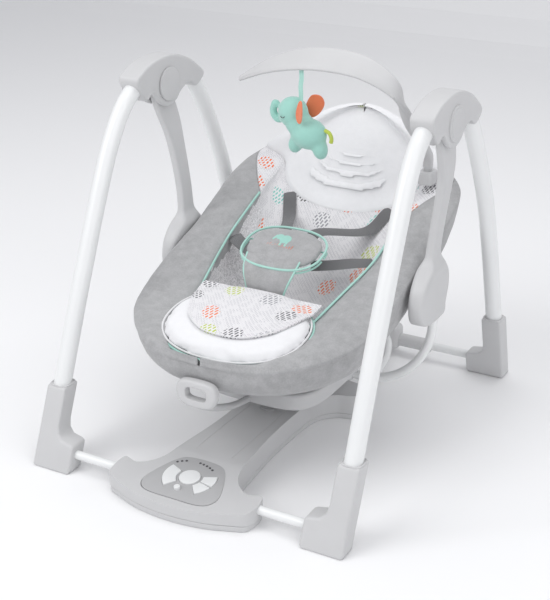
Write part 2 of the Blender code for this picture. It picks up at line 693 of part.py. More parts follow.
def carrier_tube():
    corner_x = CARRIER_X - CARRIER_BEND
    corner_z = CARRIER_Z + CARRIER_BEND
    half = [(CARRIER_X, CARRIER_Y, 0.275), (CARRIER_X, CARRIER_Y, 0.24)]
    half += [(corner_x + CARRIER_BEND * math.cos(math.pi / 2 * n / 7), CARRIER_Y,
              corner_z - CARRIER_BEND * math.sin(math.pi / 2 * n / 7)) for n in range(8)]
    route = half + [(-x, y, z) for x, y, z in reversed(half)]
    hollow_tube("carrier_tube", route, CARRIER_RADIUS, TUBE_WALL, PARTS, "steel_white", 3)
    saddle = box("drive_magnet_saddle", (-0.030, CARRIER_Y - 0.022, 0.0605),
                 (0.030, CARRIER_Y + 0.022, CARRIER_Z),
                 PARTS, None, 0.002, 1)
    cut(saddle, rod("saddle_groove", (-0.05, CARRIER_Y, CARRIER_Z), (0.05, CARRIER_Y, CARRIER_Z),
                    CARRIER_RADIUS + GAP, CUTTERS))
    paint(saddle, "plastic_light")


# Seat -------------------------------------------------------------------------------------------------


def seat_section(rim, keel, count):
    """Points from one rim side through the keel to the other, boxy like a superellipse."""
    points = []
    for step in range(count + 1):
        angle = math.pi * step / count
        c = math.cos(angle)
        s = math.sin(angle)
        across = math.copysign(abs(c) ** (2 / SECTION_POWER), c)
        down = max(s, 0.0) ** (2 / SECTION_POWER)
        points.append(Vector((rim[0] * across, rim[1] + (keel[0] - rim[1]) * down,
                              rim[2] + (keel[1] - rim[2]) * down)))
    return points


def liner_section(rim, keel, bowl, count):
    """Points across the liner: a flat band inside each rim, and a round bowl between the bands."""
    edge = Vector((bowl, rim[1], rim[2] + 0.003))
    bowl_points = seat_section(edge, keel, count)
    outer = Vector(rim)
    half = [outer, (outer + edge) / 2 + Vector((0, 0, 0.002))]
    return half + bowl_points + sided(reversed(half), -1)


def bucket(name, rows, thick, finish, outside):
    """An open bucket through rows of points that shrink to one point at its front and at its top.

    The rows give its outside, or else its inside, and the wall lies on the other side of them.
    """
    work = bmesh.new()
    rings = []
    for row in rows:
        rings.append([work.verts.new(point) for point in row])
    for first, second in zip(rings, rings[1:]):
        for index in range(max(len(first), len(second)) - 1):
            if len(first) == 1:
                work.faces.new((first[0], second[index + 1], second[index]))
            elif len(second) == 1:
                work.faces.new((first[index], first[index + 1], second[0]))
            else:
                work.faces.new((first[index], first[index + 1], second[index + 1], second[index]))
    bmesh.ops.recalc_face_normals(work, faces=work.faces)
    lowest = min(work.faces, key=lambda face: face.calc_center_median().z)
    if (lowest.normal.z < 0) != outside:
        bmesh.ops.reverse_faces(work, faces=work.faces)
    obj = from_bmesh(name, work, PARTS, finish)
    wall = obj.modifiers.new("wall", "SOLIDIFY")
    wall.thickness = thick
    wall.offset = -1.0
    wall.use_even_offset = outside
    return obj


def shell_rows():
    rims = smooth_route(SEAT_RIM, 2)
    keels = smooth_route([(0.0, *point) for point in SEAT_KEEL], 2)
    return [[rim] if rim.x < 0.001 else seat_section(rim, (keel.y, keel.z), 12)
            for rim, keel in zip(rims, keels)]


def liner_rows():
    rows = []
    for rim, keel, bowl in zip(liner_rim(), LINER_KEEL, BOWL_HALF):
        rows.append([Vector(rim)] if rim[0] < 0.001 else liner_section(rim, keel, bowl, 10))
    return rows


def liner_rim():
    """The rim of the inner liner: the shell's rim drawn in towards the middle."""
    drawn = []
    for x, y, z in SEAT_RIM:
        inward = (0.026 if y < 0 else -0.034) * (1 - min(x / 0.22, 1.0))
        drawn.append((max(x - 0.0225, 0.0) if x > 0.001 else 0.0, y + inward, z - 0.006))
    return drawn


def seat():
    bucket("seat_shell_cover", shell_rows(), SHELL_THICK, "velour", True)
    bucket("seat_liner", liner_rows(), LINER_THICK, "print", False)
    ring_route = smooth_route([(x, y, z + 0.0062) for x, y, z in SEAT_RIM], 2)
    loop = ring_route + [Vector((-p.x, p.y, p.z)) for p in reversed(ring_route[1:-1])]
    seat_ring(loop)

    tray = plate("seat_tray", [(0.0, -0.150), (0.080, -0.142), (0.108, -0.100), (0.112, -0.020),
                               (0.108, 0.060),
                               (0.080, 0.094), (0.0, 0.100), (-0.080, 0.094), (-0.108, 0.060),
                               (-0.112, -0.020),
                               (-0.108, -0.100), (-0.080, -0.142)], *TRAY_Z, PARTS, None, 0.0, "XY", 2)
    lugs = [box(f"tray_lug_{n}", (side * LUG_X - 0.010, CARRIER_Y - 0.017, 0.0640),
                (side * LUG_X + 0.010, CARRIER_Y + 0.017, TRAY_Z[0] + 0.004), CUTTERS)
            for n, side in enumerate(SIDES.values())]
    join(tray, *lugs)
    cut(tray, rod("lug_bore", (-0.15, CARRIER_Y, CARRIER_Z), (0.15, CARRIER_Y, CARRIER_Z),
                  CARRIER_RADIUS + 0.0004, CUTTERS))
    paint(tray, "plastic_light")
    handle()


def seat_ring(loop):
    """The bent rim tube of the seat, a closed ring."""
    curve = bpy.data.curves.new("seat_ring", "CURVE")
    curve.dimensions = "3D"
    curve.bevel_depth = 0.0045
    curve.bevel_resolution = 1
    spline = curve.splines.new("POLY")
    spline.points.add(len(loop) - 1)
    for point, where in zip(spline.points, loop):
        point.co = (*where, 1.0)
    spline.use_cyclic_u = True
    paint(as_mesh(place("seat_ring", curve, PARTS)), "steel")


def handle():
    """The grab loop under the front lip, on a bar that runs back to the tray."""
    outer = [(0.000, 0.1520), (0.026, 0.1560), (0.036, 0.1720), (0.034, 0.1900), (0.020, 0.1980),
             (-0.020, 0.1980), (-0.034, 0.1900), (-0.036, 0.1720), (-0.026, 0.1560)]
    body = plate("front_handle", outer, -0.314, -0.298, PARTS, None, 0.003, "XZ", 1)
    hole = plate("finger_hole", rounded_rectangle(0.0190, 0.0105, 0.007, 3, (0.0, 0.1765)), -0.33,
                 -0.28, CUTTERS,
                 None, 0.0, "XZ", straight=True)
    bar = tube("handle_bar", smooth_route([(0, -0.3060, 0.1560), (0, -0.2830, 0.1420),
                                           (0, -0.2480, 0.1240),
                                           (0, -0.2000, 0.1060), (0, -0.1495, 0.0960)], 1), 0.0060,
                                           CUTTERS, None, 2)
    cut(body, hole)
    join(body, bar)
    cut(body, box("tray_front_space", (-0.02, -0.1503, 0.08), (0.02, -0.12, 0.12), CUTTERS))
    paint(body, "plastic_light")


def ellipsoid(name, centre, radii, finish, turn=0.0, rows=7, columns=10):
    """A soft pad: a flattened ball, turned about X."""
    work = bmesh.new()
    matrix = (Matrix.Translation(centre) @ Matrix.Rotation(turn, 4, "X") @ Matrix.Diagonal((*radii, 1.0)))
    bmesh.ops.create_uvsphere(work, u_segments=columns, v_segments=rows, radius=1.0, matrix=matrix)
    return from_bmesh(name, work, PARTS, finish)


def soft_pad(name, outline, thick, centre, turn, finish):
    """A soft pad with a round edge, from a flat outline turned about X."""
    pad = plate(name, outline, -thick / 2, thick / 2, PARTS, None, thick * 0.32, "XY", 2)
    pad.data.transform(Matrix.Translation(centre) @ Matrix.Rotation(turn, 4, "X"))
    paint(pad, finish)
    return pad


LEG_REST = (0.0, -0.190, 0.2560)
LEG_REST_TURN = math.radians(9.0)
PILLOW = (0.0, 0.190, 0.3960)
LAP_PAD = (0.0, -0.036, 0.3260)
LAP_TURN = math.radians(20.0)


def soft_pieces():
    rest = [(0.000, -0.088), (0.060, -0.080), (0.105, -0.048), (0.118, 0.000), (0.100, 0.034),
            (0.050, 0.030),
            (0.000, 0.022), (-0.050, 0.030), (-0.100, 0.034), (-0.118, 0.000), (-0.105, -0.048),
            (-0.060, -0.080)]
    soft_pad("leg_rest_pad", rest, 0.016, LEG_REST, LEG_REST_TURN, "minky")
    pillow = [(-0.062, -0.038), (0.000, -0.044), (0.062, -0.038), (0.074, -0.010), (0.050, 0.030),
              (0.000, 0.046),
              (-0.050, 0.030), (-0.074, -0.010)]
    soft_pad("head_pillow", pillow, 0.024, PILLOW, math.radians(50.0), "minky")
    pad = soft_pad("lap_pad", [(0.066 * math.cos(a), 0.046 * math.sin(a)) for a in
                               [2 * math.pi * n / 12 for n in range(12)]], 0.018, LAP_PAD, LAP_TURN,
                               "velour")
    apron_rows = [((0, -0.066, 0.3200), 0.052), ((0, -0.086, 0.296), 0.044), ((0, -0.092, 0.262), 0.033),
                  ((0, -0.088, 0.232), 0.029), ((0, -0.078, 0.2120), 0.030)]
    rings = []
    for (x, y, z), half in apron_rows:
        rings.append([Vector((-half, y - 0.005, z)), Vector((half, y - 0.005, z)),
                      Vector((half, y + 0.005, z)), Vector((-half, y + 0.005, z))])
    join(pad, loft("lap_apron", rings, CUTTERS))
    paint(pad, "velour")


STRAP_THICK = 0.0022


def straps():
    for side_name, side in SIDES.items():
        shoulder = smooth_route(sided([(0.058, 0.118, 0.3420), (0.050, 0.080, 0.3330),
                                       (0.038, 0.040, 0.3300),
                                       (0.022, 0.0140, 0.3240)], side), 2)
        ribbon(f"shoulder_strap_{side_name}", shoulder, (1, -0.2 * side, 0), 0.024, STRAP_THICK,
               "webbing")
        waist = smooth_route(sided([(0.128, 0.030, 0.3160), (0.108, 0.010, 0.3080),
                                    (0.082, -0.008, 0.3020),
                                    (0.052, -0.026, 0.2990)], side), 2)
        ribbon(f"waist_strap_{side_name}", waist, (0, -0.25, 1), 0.024, STRAP_THICK, "webbing")
    box("harness_buckle", (-0.022, -0.046, 0.2860), (0.022, -0.006, 0.3000), PARTS, "plastic_dark",
        0.004, 2)


# Toy bar ----------------------------------------------------------------------------------------------

BAR_FOOT = (0.1560, 0.2150, 0.4050)
BAR_ROUTE = [(0.1570, 0.2120, 0.4300), (0.1625, 0.1950, 0.4550), (0.1645, 0.1550, 0.4900),
             (0.1655, 0.1080, 0.5280),
             (0.1640, 0.0750, 0.5670), (0.1500, 0.0620, 0.6010), (0.1000, 0.0600, 0.6270),
             (0.0400, 0.0600, 0.6340), (-0.0200, 0.0600, 0.6290), (-0.0800, 0.0600, 0.6110),
             (-0.1340, 0.0600, 0.5830)]
BAR_HALF_WIDTH = [0.0085, 0.0085, 0.0085, 0.0090, 0.0110, 0.0150, 0.0205, 0.0220, 0.0205, 0.0140, 0.0030]
BAR_THICK = 0.0080
TOY_STRAP = (-0.011, 0.0520, 0.6138)
TOY_BALLS = [("toy_head", (-0.034, 0.0520, 0.5380), (0.028, 0.025, 0.029)),
             ("toy_trunk", (-0.060, 0.0520, 0.5330), (0.012, 0.010, 0.014)),
             ("toy_front_leg", (-0.030, 0.0520, 0.4720), (0.013, 0.017, 0.017)),
             ("toy_back_leg", (0.023, 0.0520, 0.4740), (0.015, 0.017, 0.020))]


def toy_bar():
    route = smooth_route(BAR_ROUTE, 2)
    widths = [v.x for v in smooth_route([(w, 0, 0) for w in BAR_HALF_WIDTH], 2)]
    tilt = Vector((0, -0.72, -0.69))
    rings = []
    for index, (here, half) in enumerate(zip(route, widths)):
        ahead = route[min(index + 1, len(route) - 1)] - route[max(index - 1, 0)]
        rise = min(max((here.z - 0.50) / 0.09, 0.0), 1.0)
        across = (Vector((0, 1, 0)) * (1 - rise) - tilt * rise)
        across = (across - ahead * across.dot(ahead) / ahead.length_squared).normalized()
        normal = ahead.cross(across).normalized()
        thick = BAR_THICK / 2
        ring = []
        for across_part, lift in ((-1, 0), (-0.8, -1), (0.8, -1), (1, 0), (0.8, 1), (-0.8, 1)):
            ring.append(here + across * half * across_part + normal * thick * lift)
        rings.append(ring)
    bar = loft("toy_bar", rings, PARTS)
    x, y, z = BAR_FOOT
    join(bar, rod("toy_bar_spigot", (x, y, z), (x, y, z + 0.030), 0.0060, CUTTERS))
    paint(bar, "plastic_light")
    mount = box("toy_bar_mount", (x - 0.014, y - 0.015, z - 0.009), (x + 0.014, y + 0.015, z + 0.017),
                PARTS, None,
                0.003, 1)
    cut(mount, rod("spigot_bore", (x, y, z - 0.0015), (x, y, z + 0.05), 0.0064, CUTTERS))
    paint(mount, "plastic_light")


def toy():
    """A simple plush animal on a strap; its loose shape is a ball, a body and a trunk."""
    x, y, z = TOY_STRAP
    ribbon("toy_strap", [Vector((x, y, z - 0.0145 * n)) for n in range(4)], (1, 0, 0), 0.008, 0.0024,
           "plush")
    body = ellipsoid("plush_toy", (-0.004, y, 0.4970), (0.036, 0.026, 0.028), "plush")
    join(body, *[ball(*piece) for piece in TOY_BALLS])
    paint(body, "plush")


def ball(name, centre, radii):
    work = bmesh.new()
    bmesh.ops.create_uvsphere(work, u_segments=8, v_segments=6, radius=1.0,
                              matrix=Matrix.Translation(centre) @ Matrix.Diagonal((*radii, 1.0)))
    return from_bmesh(name, work, CUTTERS)


legs()
feet()
base_tubes()
base()
controls()
rear_housing()
hubs()
arms()
carrier_tube()
seat()
soft_pieces()
straps()
toy_bar()
toy()

for made in PARTS.objects:
    made.data.shade_smooth()
    made.data.set_sharp_from_angle(angle=math.radians(35))
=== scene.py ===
"""The finished baby swing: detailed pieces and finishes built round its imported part."""

import math
from contextlib import contextmanager

import bpy
import numpy as np
from mathutils import Matrix, Vector


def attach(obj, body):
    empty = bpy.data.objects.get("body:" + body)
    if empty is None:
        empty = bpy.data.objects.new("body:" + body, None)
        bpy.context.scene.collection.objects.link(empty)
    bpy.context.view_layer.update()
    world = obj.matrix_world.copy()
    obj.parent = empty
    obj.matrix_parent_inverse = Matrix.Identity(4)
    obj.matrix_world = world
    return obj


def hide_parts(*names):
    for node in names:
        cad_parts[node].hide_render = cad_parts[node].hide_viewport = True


bl_info = {
    "name": "Baby Swing",
    "version": (1, 0, 0),
    "blender": (4, 5, 0),
    "location": "3D Viewport > Sidebar > Baby Swing",
    "description": "Builds a portable baby swing with a padded seat, a toy bar and its stage",
    "category": "Add Mesh",
}

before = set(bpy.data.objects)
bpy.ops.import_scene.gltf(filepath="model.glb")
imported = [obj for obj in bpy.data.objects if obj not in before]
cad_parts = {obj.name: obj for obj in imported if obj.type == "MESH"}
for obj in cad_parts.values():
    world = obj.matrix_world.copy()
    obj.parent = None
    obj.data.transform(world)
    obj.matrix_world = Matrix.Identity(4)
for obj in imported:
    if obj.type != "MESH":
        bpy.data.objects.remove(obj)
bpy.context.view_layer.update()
SIDES = {"left": -1, "right": 1}

# Sizes that pieces share, in metres -------------------------------------------------------------------

PIVOT = Vector((0.0, 0.004, 0.573))
HUB_X = 0.264
HUB_HALF = 0.0205
ARM_ROOM_HALF = 0.0100
LEG_RADIUS = 0.0147
CROSS_RADIUS = 0.0078
CARRIER_RADIUS = 0.0080
FRONT_TUBE = (-0.346, 0.026)
REAR_TUBE = (0.324, 0.030)
PANEL_TILT = math.radians(8.0)
PANEL_PIVOT = (-0.276, 0.047)       # y and z of the line about which the panel tilts
ROUND_BUTTON = (0.0, -0.336, 0.0175)

# The seat is lofted over 13 stations, from the middle of the leg rest (0) up to the middle of the head (12).
# The rim is its right edge, the keels are the middle lines of the cover and the liner, and the bowl is the
# half width of the liner.
SEAT_RIM = [
    (0.0000, -0.300, 0.222), (0.0950, -0.288, 0.223), (0.1470, -0.250, 0.226), (0.1880, -0.200, 0.233),
    (0.2110, -0.140, 0.245), (0.2180, -0.060, 0.272), (0.2180, 0.030, 0.302), (0.2190, 0.110, 0.335),
    (0.2225, 0.175, 0.362), (0.2060, 0.238, 0.388), (0.1440, 0.271, 0.434), (0.0720, 0.284, 0.478),
    (0.0000, 0.290, 0.496),
]
SEAT_KEEL = [
    (0, -0.300, 0.222), (0, -0.290, 0.184), (0, -0.250, 0.158), (0, -0.200, 0.140), (0, -0.140, 0.129),
    (0, -0.060, 0.123), (0, 0.030, 0.125), (0, 0.115, 0.150), (0, 0.185, 0.208), (0, 0.235, 0.272),
    (0, 0.275, 0.350), (0, 0.292, 0.430), (0, 0.290, 0.496),
]
LINER_KEEL = [
    (0, -0.276, 0.216), (0, -0.262, 0.217), (0, -0.226, 0.219), (0, -0.184, 0.223), (0, -0.130, 0.210),
    (0, -0.055, 0.192), (0, 0.020, 0.205), (0, 0.085, 0.250), (0, 0.140, 0.302), (0, 0.185, 0.350),
    (0, 0.222, 0.400), (0, 0.252, 0.446), (0, 0.276, 0.484),
]
SEAT_END = 11.995                   # just short of the last station, where the halves meet
BOWL_HALF = [0.000, 0.055, 0.092, 0.108, 0.111, 0.126, 0.141, 0.143, 0.142, 0.136, 0.100, 0.048, 0.000]
BOXINESS = 2.2                     # power of the superellipse across the bowl


# Settings a user would change -------------------------------------------------------------------------

def colour(name, description, default):
    return bpy.props.FloatVectorProperty(name=name, description=description, default=default, size=3,
                                         subtype="COLOR", min=0.0, max=1.0)


def length(name, description, default, low=0.0, high=1.0):
    return bpy.props.FloatProperty(name=name, description=description, default=default, min=low, max=high,
                                   unit="LENGTH", precision=4)


class SwingColours(bpy.types.PropertyGroup):
    """Colours of the swing's finishes."""

    coat: colour("Tube coat", "Powder coat of the steel tubes", (0.86, 0.87, 0.87))
    shell: colour("Plastic", "Moulded housings, hubs, arms and feet", (0.60, 0.60, 0.605))
    panel: colour("Panel", "Control panel and small dark mouldings", (0.47, 0.47, 0.475))
    button: colour("Buttons", "Faces of the push buttons", (0.84, 0.85, 0.85))
    velour: colour("Velour", "Short-pile cover of the seat and lap pad", (0.405, 0.405, 0.41))
    cotton: colour("Cotton", "Ground of the printed cotton", (0.83, 0.82, 0.835))
    minky: colour("Plush white", "Head pad, pillow and leg rest", (0.86, 0.86, 0.875))
    piping: colour("Piping", "Corded piping along the seams", (0.43, 0.72, 0.64))
    webbing: colour("Webbing", "Harness straps", (0.155, 0.155, 0.16))
    plush: colour("Toy", "Body of the hanging toy", (0.36, 0.66, 0.58))
    coral: colour("Coral", "Ears of the toy and stitched grass", (0.86, 0.235, 0.11))
    lime: colour("Lime", "Tail of the toy", (0.53, 0.63, 0.11))


class SwingSizes(bpy.types.PropertyGroup):
    """Sizes of the swing's soft details."""

    piping_radius: length("Piping radius", "Half the thickness of the corded piping", 0.0021, 0.0005, 0.006)
    rim_puff: length("Rim puff", "How far the padded band stands over the seat's rim", 0.0100, 0.0, 0.02)
    liner_thick: length("Liner thickness", "Thickness of the printed liner", 0.0035, 0.001, 0.01)
    strap_width: length("Strap width", "Width of the harness webbing", 0.0245, 0.01, 0.05)


# Finishes -----------------------------------------------------------------------------------------------

class Shade:
    """A socket that Python expressions turn into Math nodes."""

    def __init__(self, finish, socket):
        self.finish = finish
        self.socket = socket

    def maths(self, operation, *others):
        return self.finish.node("Math", {"operation": operation}, dict(enumerate([self, *others])))

    def __add__(self, other):
        return self.maths("ADD", other)

    def __sub__(self, other):
        return self.maths("SUBTRACT", other)

    def __mul__(self, other):
        return self.maths("MULTIPLY", other)

    def __truediv__(self, other):
        return self.maths("DIVIDE", other)

    def __rsub__(self, other):
        return self.finish.node("Math", {"operation": "SUBTRACT"}, {0: other, 1: self})

    __radd__ = __add__
    __rmul__ = __mul__

    def below(self, limit):
        return self.maths("LESS_THAN", limit)

    def above(self, limit):
        return self.maths("GREATER_THAN", limit)

    def fraction(self):
        return self.maths("FRACT")

    def size(self):
        return self.maths("ABSOLUTE")

    def spread(self, low, high):
        """A value from 0 to 1 taken to a range."""
        return self * (high - low) + low


class Finish:
    """A material, with one method that adds any node to it."""

    def __init__(self, name, roughness=0.5, **constants):
        self.material = bpy.data.materials.new(name)
        self.material.use_nodes = True
        self.tree = self.material.node_tree
        self.surface = self.tree.nodes["Principled BSDF"]
        self.surface.inputs["Roughness"].default_value = roughness
        for socket, value in constants.items():
            self.surface.inputs[socket.replace("_", " ")].default_value = value

    def node(self, kind, settings=None, values=None, output=0):
        made = self.tree.nodes.new("ShaderNode" + kind)
        for key, value in (settings or {}).items():
            if key == "stops":
                self.fill_ramp(made.color_ramp, value)
            else:
                setattr(made, key, value)
        for key, value in (values or {}).items():
            if isinstance(value, Shade):
                self.tree.links.new(value.socket, made.inputs[key])
            else:
                made.inputs[key].default_value = value
        return Shade(self, made.outputs[output])

    @staticmethod
    def fill_ramp(ramp, stops):
        ramp.interpolation = "CONSTANT"
        while len(ramp.elements) < len(stops):
            ramp.elements.new(0.5)
        for element, (position, tint) in zip(ramp.elements, stops):
            element.position = position
            element.color = (*tint, 1.0)

    def feed(self, socket, value):
        self.tree.links.new(value.socket, self.surface.inputs[socket])

    def object_place(self):
        return self.node("TexCoord", output="Object")

    def cloth_place(self, layer="cloth"):
        return self.node("UVMap", {"uv_map": layer})

    def noise(self, place, scale, detail=2.0, roughness=0.5):
        return self.node("TexNoise", {}, {"Vector": place, "Scale": scale, "Detail": detail,
                                          "Roughness": roughness})

    def mixed(self, factor, first, second):
        """Two colours mixed, by the colour sockets of the Mix node."""
        return self.node("Mix", {"data_type": "RGBA"},
                         {"Factor": factor, 6: with_alpha(first), 7: with_alpha(second)}, output=2)

    def part(self, vector, axis):
        return self.node("SeparateXYZ", {}, {0: vector}, output=axis)

    def channel(self, tint, number):
        return self.node("SeparateColor", {}, {0: tint}, output=number)

    def stretched(self, value, low, high):
        """The range from low to high taken to 0 to 1."""
        return self.node("MapRange", {}, {"Value": value, "From Min": low, "From Max": high})

    def bands(self, place, direction, scale, distortion=0.0):
        return self.node("TexWave", {"bands_direction": direction},
                         {"Vector": place, "Scale": scale, "Distortion": distortion})

    def bump(self, height, distance, strength=1.0):
        self.feed("Normal", self.node("Bump", {}, {"Height": height, "Distance": distance,
                                                   "Strength": strength}))


def with_alpha(tint):
    """A colour with its alpha, or a link as it is."""
    return tint if isinstance(tint, Shade) else (*tint[:3], 1.0)


def darker(tint, share):
    """A colour times a share, which may also be a little over 1."""
    return tuple(channel * share for channel in tint)


def moulded_plastic(name, tint, roughness=0.42):
    """Moulded plastic with a fine spark-eroded grain and a faint unevenness."""
    finish = Finish(name, roughness, IOR=1.46)
    place = finish.object_place()
    cloud = finish.noise(place, 22.0, 3.0)
    grain = finish.noise(place, 1500.0, 2.0, 0.7)
    finish.feed("Base Color", finish.mixed(cloud, darker(tint, 0.965), darker(tint, 1.03)))
    finish.feed("Roughness", (cloud * 0.6 + grain * 0.4).spread(roughness - 0.07, roughness + 0.10))
    finish.bump(grain, 0.00010, 0.55)
    return finish.material


def powder_coat(name, tint):
    """White powder coat with a shallow orange peel."""
    finish = Finish(name, 0.30, Coat_Weight=0.25, Coat_Roughness=0.15)
    place = finish.object_place()
    peel = finish.noise(place, 420.0, 2.0)
    cloud = finish.noise(place, 14.0, 2.0)
    finish.feed("Base Color", finish.mixed(cloud, darker(tint, 0.975), tint))
    finish.feed("Roughness", cloud.spread(0.26, 0.36))
    finish.bump(peel, 0.00012, 0.5)
    return finish.material


def drawn_metal(name, tint, roughness=0.3):
    """Drawn metal with fine streaks along Z."""
    finish = Finish(name, roughness, Metallic=1.0)
    place = finish.node("Mapping", {}, {0: finish.object_place(), "Scale": (900.0, 900.0, 30.0)})
    streak = finish.noise(place, 1.0, 2.0)
    finish.feed("Base Color", finish.mixed(streak, darker(tint, 0.85), tint))
    finish.feed("Roughness", streak.spread(roughness - 0.08, roughness + 0.12))
    return finish.material


def circuit_lacquer(name):
    """Green lacquer with a grid of tracks."""
    finish = Finish(name, 0.35)
    tracks = finish.node("TexBrick", {}, {"Vector": finish.object_place(), "Scale": 140.0})
    finish.feed("Base Color", finish.mixed(tracks, (0.03, 0.16, 0.07), (0.06, 0.30, 0.14)))
    return finish.material


def velour_look(finish, place, tint):
    """Colour and height of short pile: fine tufts and a heather fleck over soft crushed patches."""
    tuft = finish.noise(place, 1300.0, 2.0, 0.65)
    crushed = finish.noise(place, 55.0, 3.0, 0.6)
    heather = finish.noise(place, 420.0, 2.0, 0.7)
    mottle = finish.stretched(crushed * 0.45 + heather * 0.35 + tuft * 0.20, 0.38, 0.62)
    pile = finish.mixed(mottle, darker(tint, 0.86), darker(tint, 1.13))
    return pile, tuft * 0.5 + crushed * 1.6


def velour(name, tint):
    """Short-pile velour, a little lighter where the pile is brushed."""
    finish = Finish(name, 0.88, Sheen_Weight=0.35, Sheen_Roughness=0.45, Specular_IOR_Level=0.2)
    pile, height = velour_look(finish, finish.object_place(), tint)
    finish.feed("Base Color", pile)
    finish.bump(height, 0.0005, 0.55)
    return finish.material


def plush(name, tint, pile=900.0, sheen=0.5):
    """Brushed plush: fine fibres in small clumps."""
    finish = Finish(name, 0.92, Sheen_Weight=sheen, Sheen_Roughness=0.5, Specular_IOR_Level=0.15)
    place = finish.object_place()
    fibre = finish.noise(place, pile, 3.0, 0.75)
    clump = finish.noise(place, pile / 7.0, 2.0)
    finish.feed("Base Color", finish.mixed(fibre * 0.6 + clump * 0.4, darker(tint, 0.91), darker(tint, 1.06)))
    finish.bump(fibre * 0.6 + clump, 0.0006, 0.5)
    return finish.material


def webbing(name, tint):
    """Flat woven webbing with ribs across the strap."""
    finish = Finish(name, 0.75, Sheen_Weight=0.15)
    place = finish.cloth_place()
    weave = finish.bands(place, "Y", 210.0, 1.5) * 0.7 + finish.bands(place, "X", 330.0) * 0.3
    finish.feed("Base Color", finish.mixed(weave, darker(tint, 0.75), darker(tint, 1.25)))
    finish.bump(weave, 0.0004, 0.8)
    return finish.material


def corded(name, tint):
    """Piping: a smooth bias-cut cover with a faint weave."""
    finish = Finish(name, 0.6, Sheen_Weight=0.2)
    place = finish.object_place()
    weave = finish.noise(place, 1600.0, 1.0)
    soft = finish.noise(place, 60.0, 1.0)
    finish.feed("Base Color", finish.mixed(weave * 0.5 + soft * 0.5, darker(tint, 0.88), darker(tint, 1.06)))
    finish.bump(weave, 0.0002, 0.6)
    return finish.material


# The print: fine broken lines all over, with small clusters of bold strokes in five tints.
CLUSTER_PITCH = 0.056
MARK_TINTS = ((0.115, 0.115, 0.13), (0.86, 0.20, 0.075), (0.115, 0.115, 0.13), (0.53, 0.63, 0.09),
              (0.33, 0.33, 0.36), (0.28, 0.62, 0.56), (0.86, 0.22, 0.09), (0.53, 0.63, 0.09))


def dashes(finish, place, turn, pitch, fill, wander):
    """Short strokes in staggered rows: pitch and fill are (across, along) the strokes."""
    drift = finish.noise(place, wander, 1.0)
    turned = finish.node("Mapping", {}, {0: place, "Rotation": (0.0, 0.0, turn)})
    across = (finish.part(turned, 0) + drift * pitch[0] * 1.1) / pitch[0]
    stagger = (across.maths("FLOOR") * 0.618).fraction()
    along_row = finish.part(turned, 1) / pitch[1] + stagger + drift * 0.5
    across_mask = (across.fraction() - 0.5).size().below(fill[0] / 2)
    along_mask = (along_row.fraction() - 0.5).size().below(fill[1] / 2)
    return across_mask * along_mask


def print_colour(finish, place, ground):
    """Colour of the printed cotton at a place on the cloth, in metres."""
    fine = dashes(finish, place, 0.12, (0.0025, 0.0090), (0.42, 0.66), 60.0)
    patchy = finish.noise(place, 75.0, 2.0).above(0.47)
    cells = {"feature": "F1", "voronoi_dimensions": "2D"}
    setup = {"Vector": place, "Scale": 1.0 / CLUSTER_PITCH, "Randomness": 0.62}
    distance = finish.node("TexVoronoi", cells, setup, output=0)
    random = finish.node("TexVoronoi", cells, setup, output=1)
    chance, kind = finish.channel(random, 0), finish.channel(random, 1)
    ragged = finish.noise(place, 260.0, 1.0)
    inside = (distance + ragged * 0.14).below(0.37) * chance.above(0.22)
    bold = dashes(finish, place, -0.42, (0.0056, 0.0108), (0.50, 0.70), 45.0) * inside
    steps = [(index / len(MARK_TINTS), tint) for index, tint in enumerate(MARK_TINTS)]
    ink = finish.node("ValToRGB", {"stops": steps}, {0: kind})
    faint = finish.mixed(fine * (patchy * 0.35 + 0.12) * (1 - inside), ground, (0.30, 0.30, 0.34))
    return finish.mixed(bold, faint, ink)


def printed_cotton(name, ground):
    """Printed cotton in a plain weave."""
    finish = Finish(name, 0.82, Sheen_Weight=0.15, Specular_IOR_Level=0.25)
    place = finish.cloth_place()
    finish.feed("Base Color", print_colour(finish, place, ground))
    finish.bump(finish.bands(place, "X", 700.0) * finish.bands(place, "Y", 700.0), 0.0002, 0.5)
    return finish.material


def speckled_cotton(name, ground):
    """White cotton with dense fine grey flecks, for the seat's inner sides."""
    finish = Finish(name, 0.85, Sheen_Weight=0.15, Specular_IOR_Level=0.2)
    place = finish.cloth_place()
    fleck = finish.node("TexVoronoi", {"voronoi_dimensions": "2D"}, {"Vector": place, "Scale": 620.0},
                        output=1)
    chance = finish.channel(fleck, 0)
    finish.feed("Base Color", finish.mixed(finish.stretched(chance, 0.1, 0.9), darker(ground, 0.74),
                                           darker(ground, 1.12)))
    finish.bump(chance, 0.00025, 0.5)
    return finish.material


WING_SEAM_AT_RIM, WING_SEAM_AT_PIPING = 9.25, 7.50     # stations of the seam between velour and print


def seat_cover_finish(name, colours):
    """Velour below the wing seam and printed cotton above it, with a stitched groove between, pressed in by
    the bump and darkened with painted shade.
    """
    finish = Finish(name, 0.87, Sheen_Weight=0.3, Sheen_Roughness=0.45, Specular_IOR_Level=0.2)
    chart = finish.cloth_place("chart")
    inward = finish.part(chart, 0).maths("MAXIMUM", 0.0).maths("MINIMUM", 1.0)
    past_seam = finish.part(chart, 1) - inward.spread(WING_SEAM_AT_RIM, WING_SEAM_AT_PIPING)
    upper = past_seam.above(0.0)
    groove = past_seam.size().below(0.035)
    tint = tuple(colours.velour)
    pile, height = velour_look(finish, finish.object_place(), tint)
    cover = finish.mixed(upper, pile, print_colour(finish, finish.cloth_place(), tuple(colours.cotton)))
    # Painted shade along the seam groove: the cloth there is mixed halfway towards a darkened velour tint.
    finish.feed("Base Color", finish.mixed(groove * 0.5, cover, darker(tint, 0.5)))
    finish.bump(height * (1 - upper * 0.7) - groove * 2.0, 0.0006, 0.55)
    return finish.material


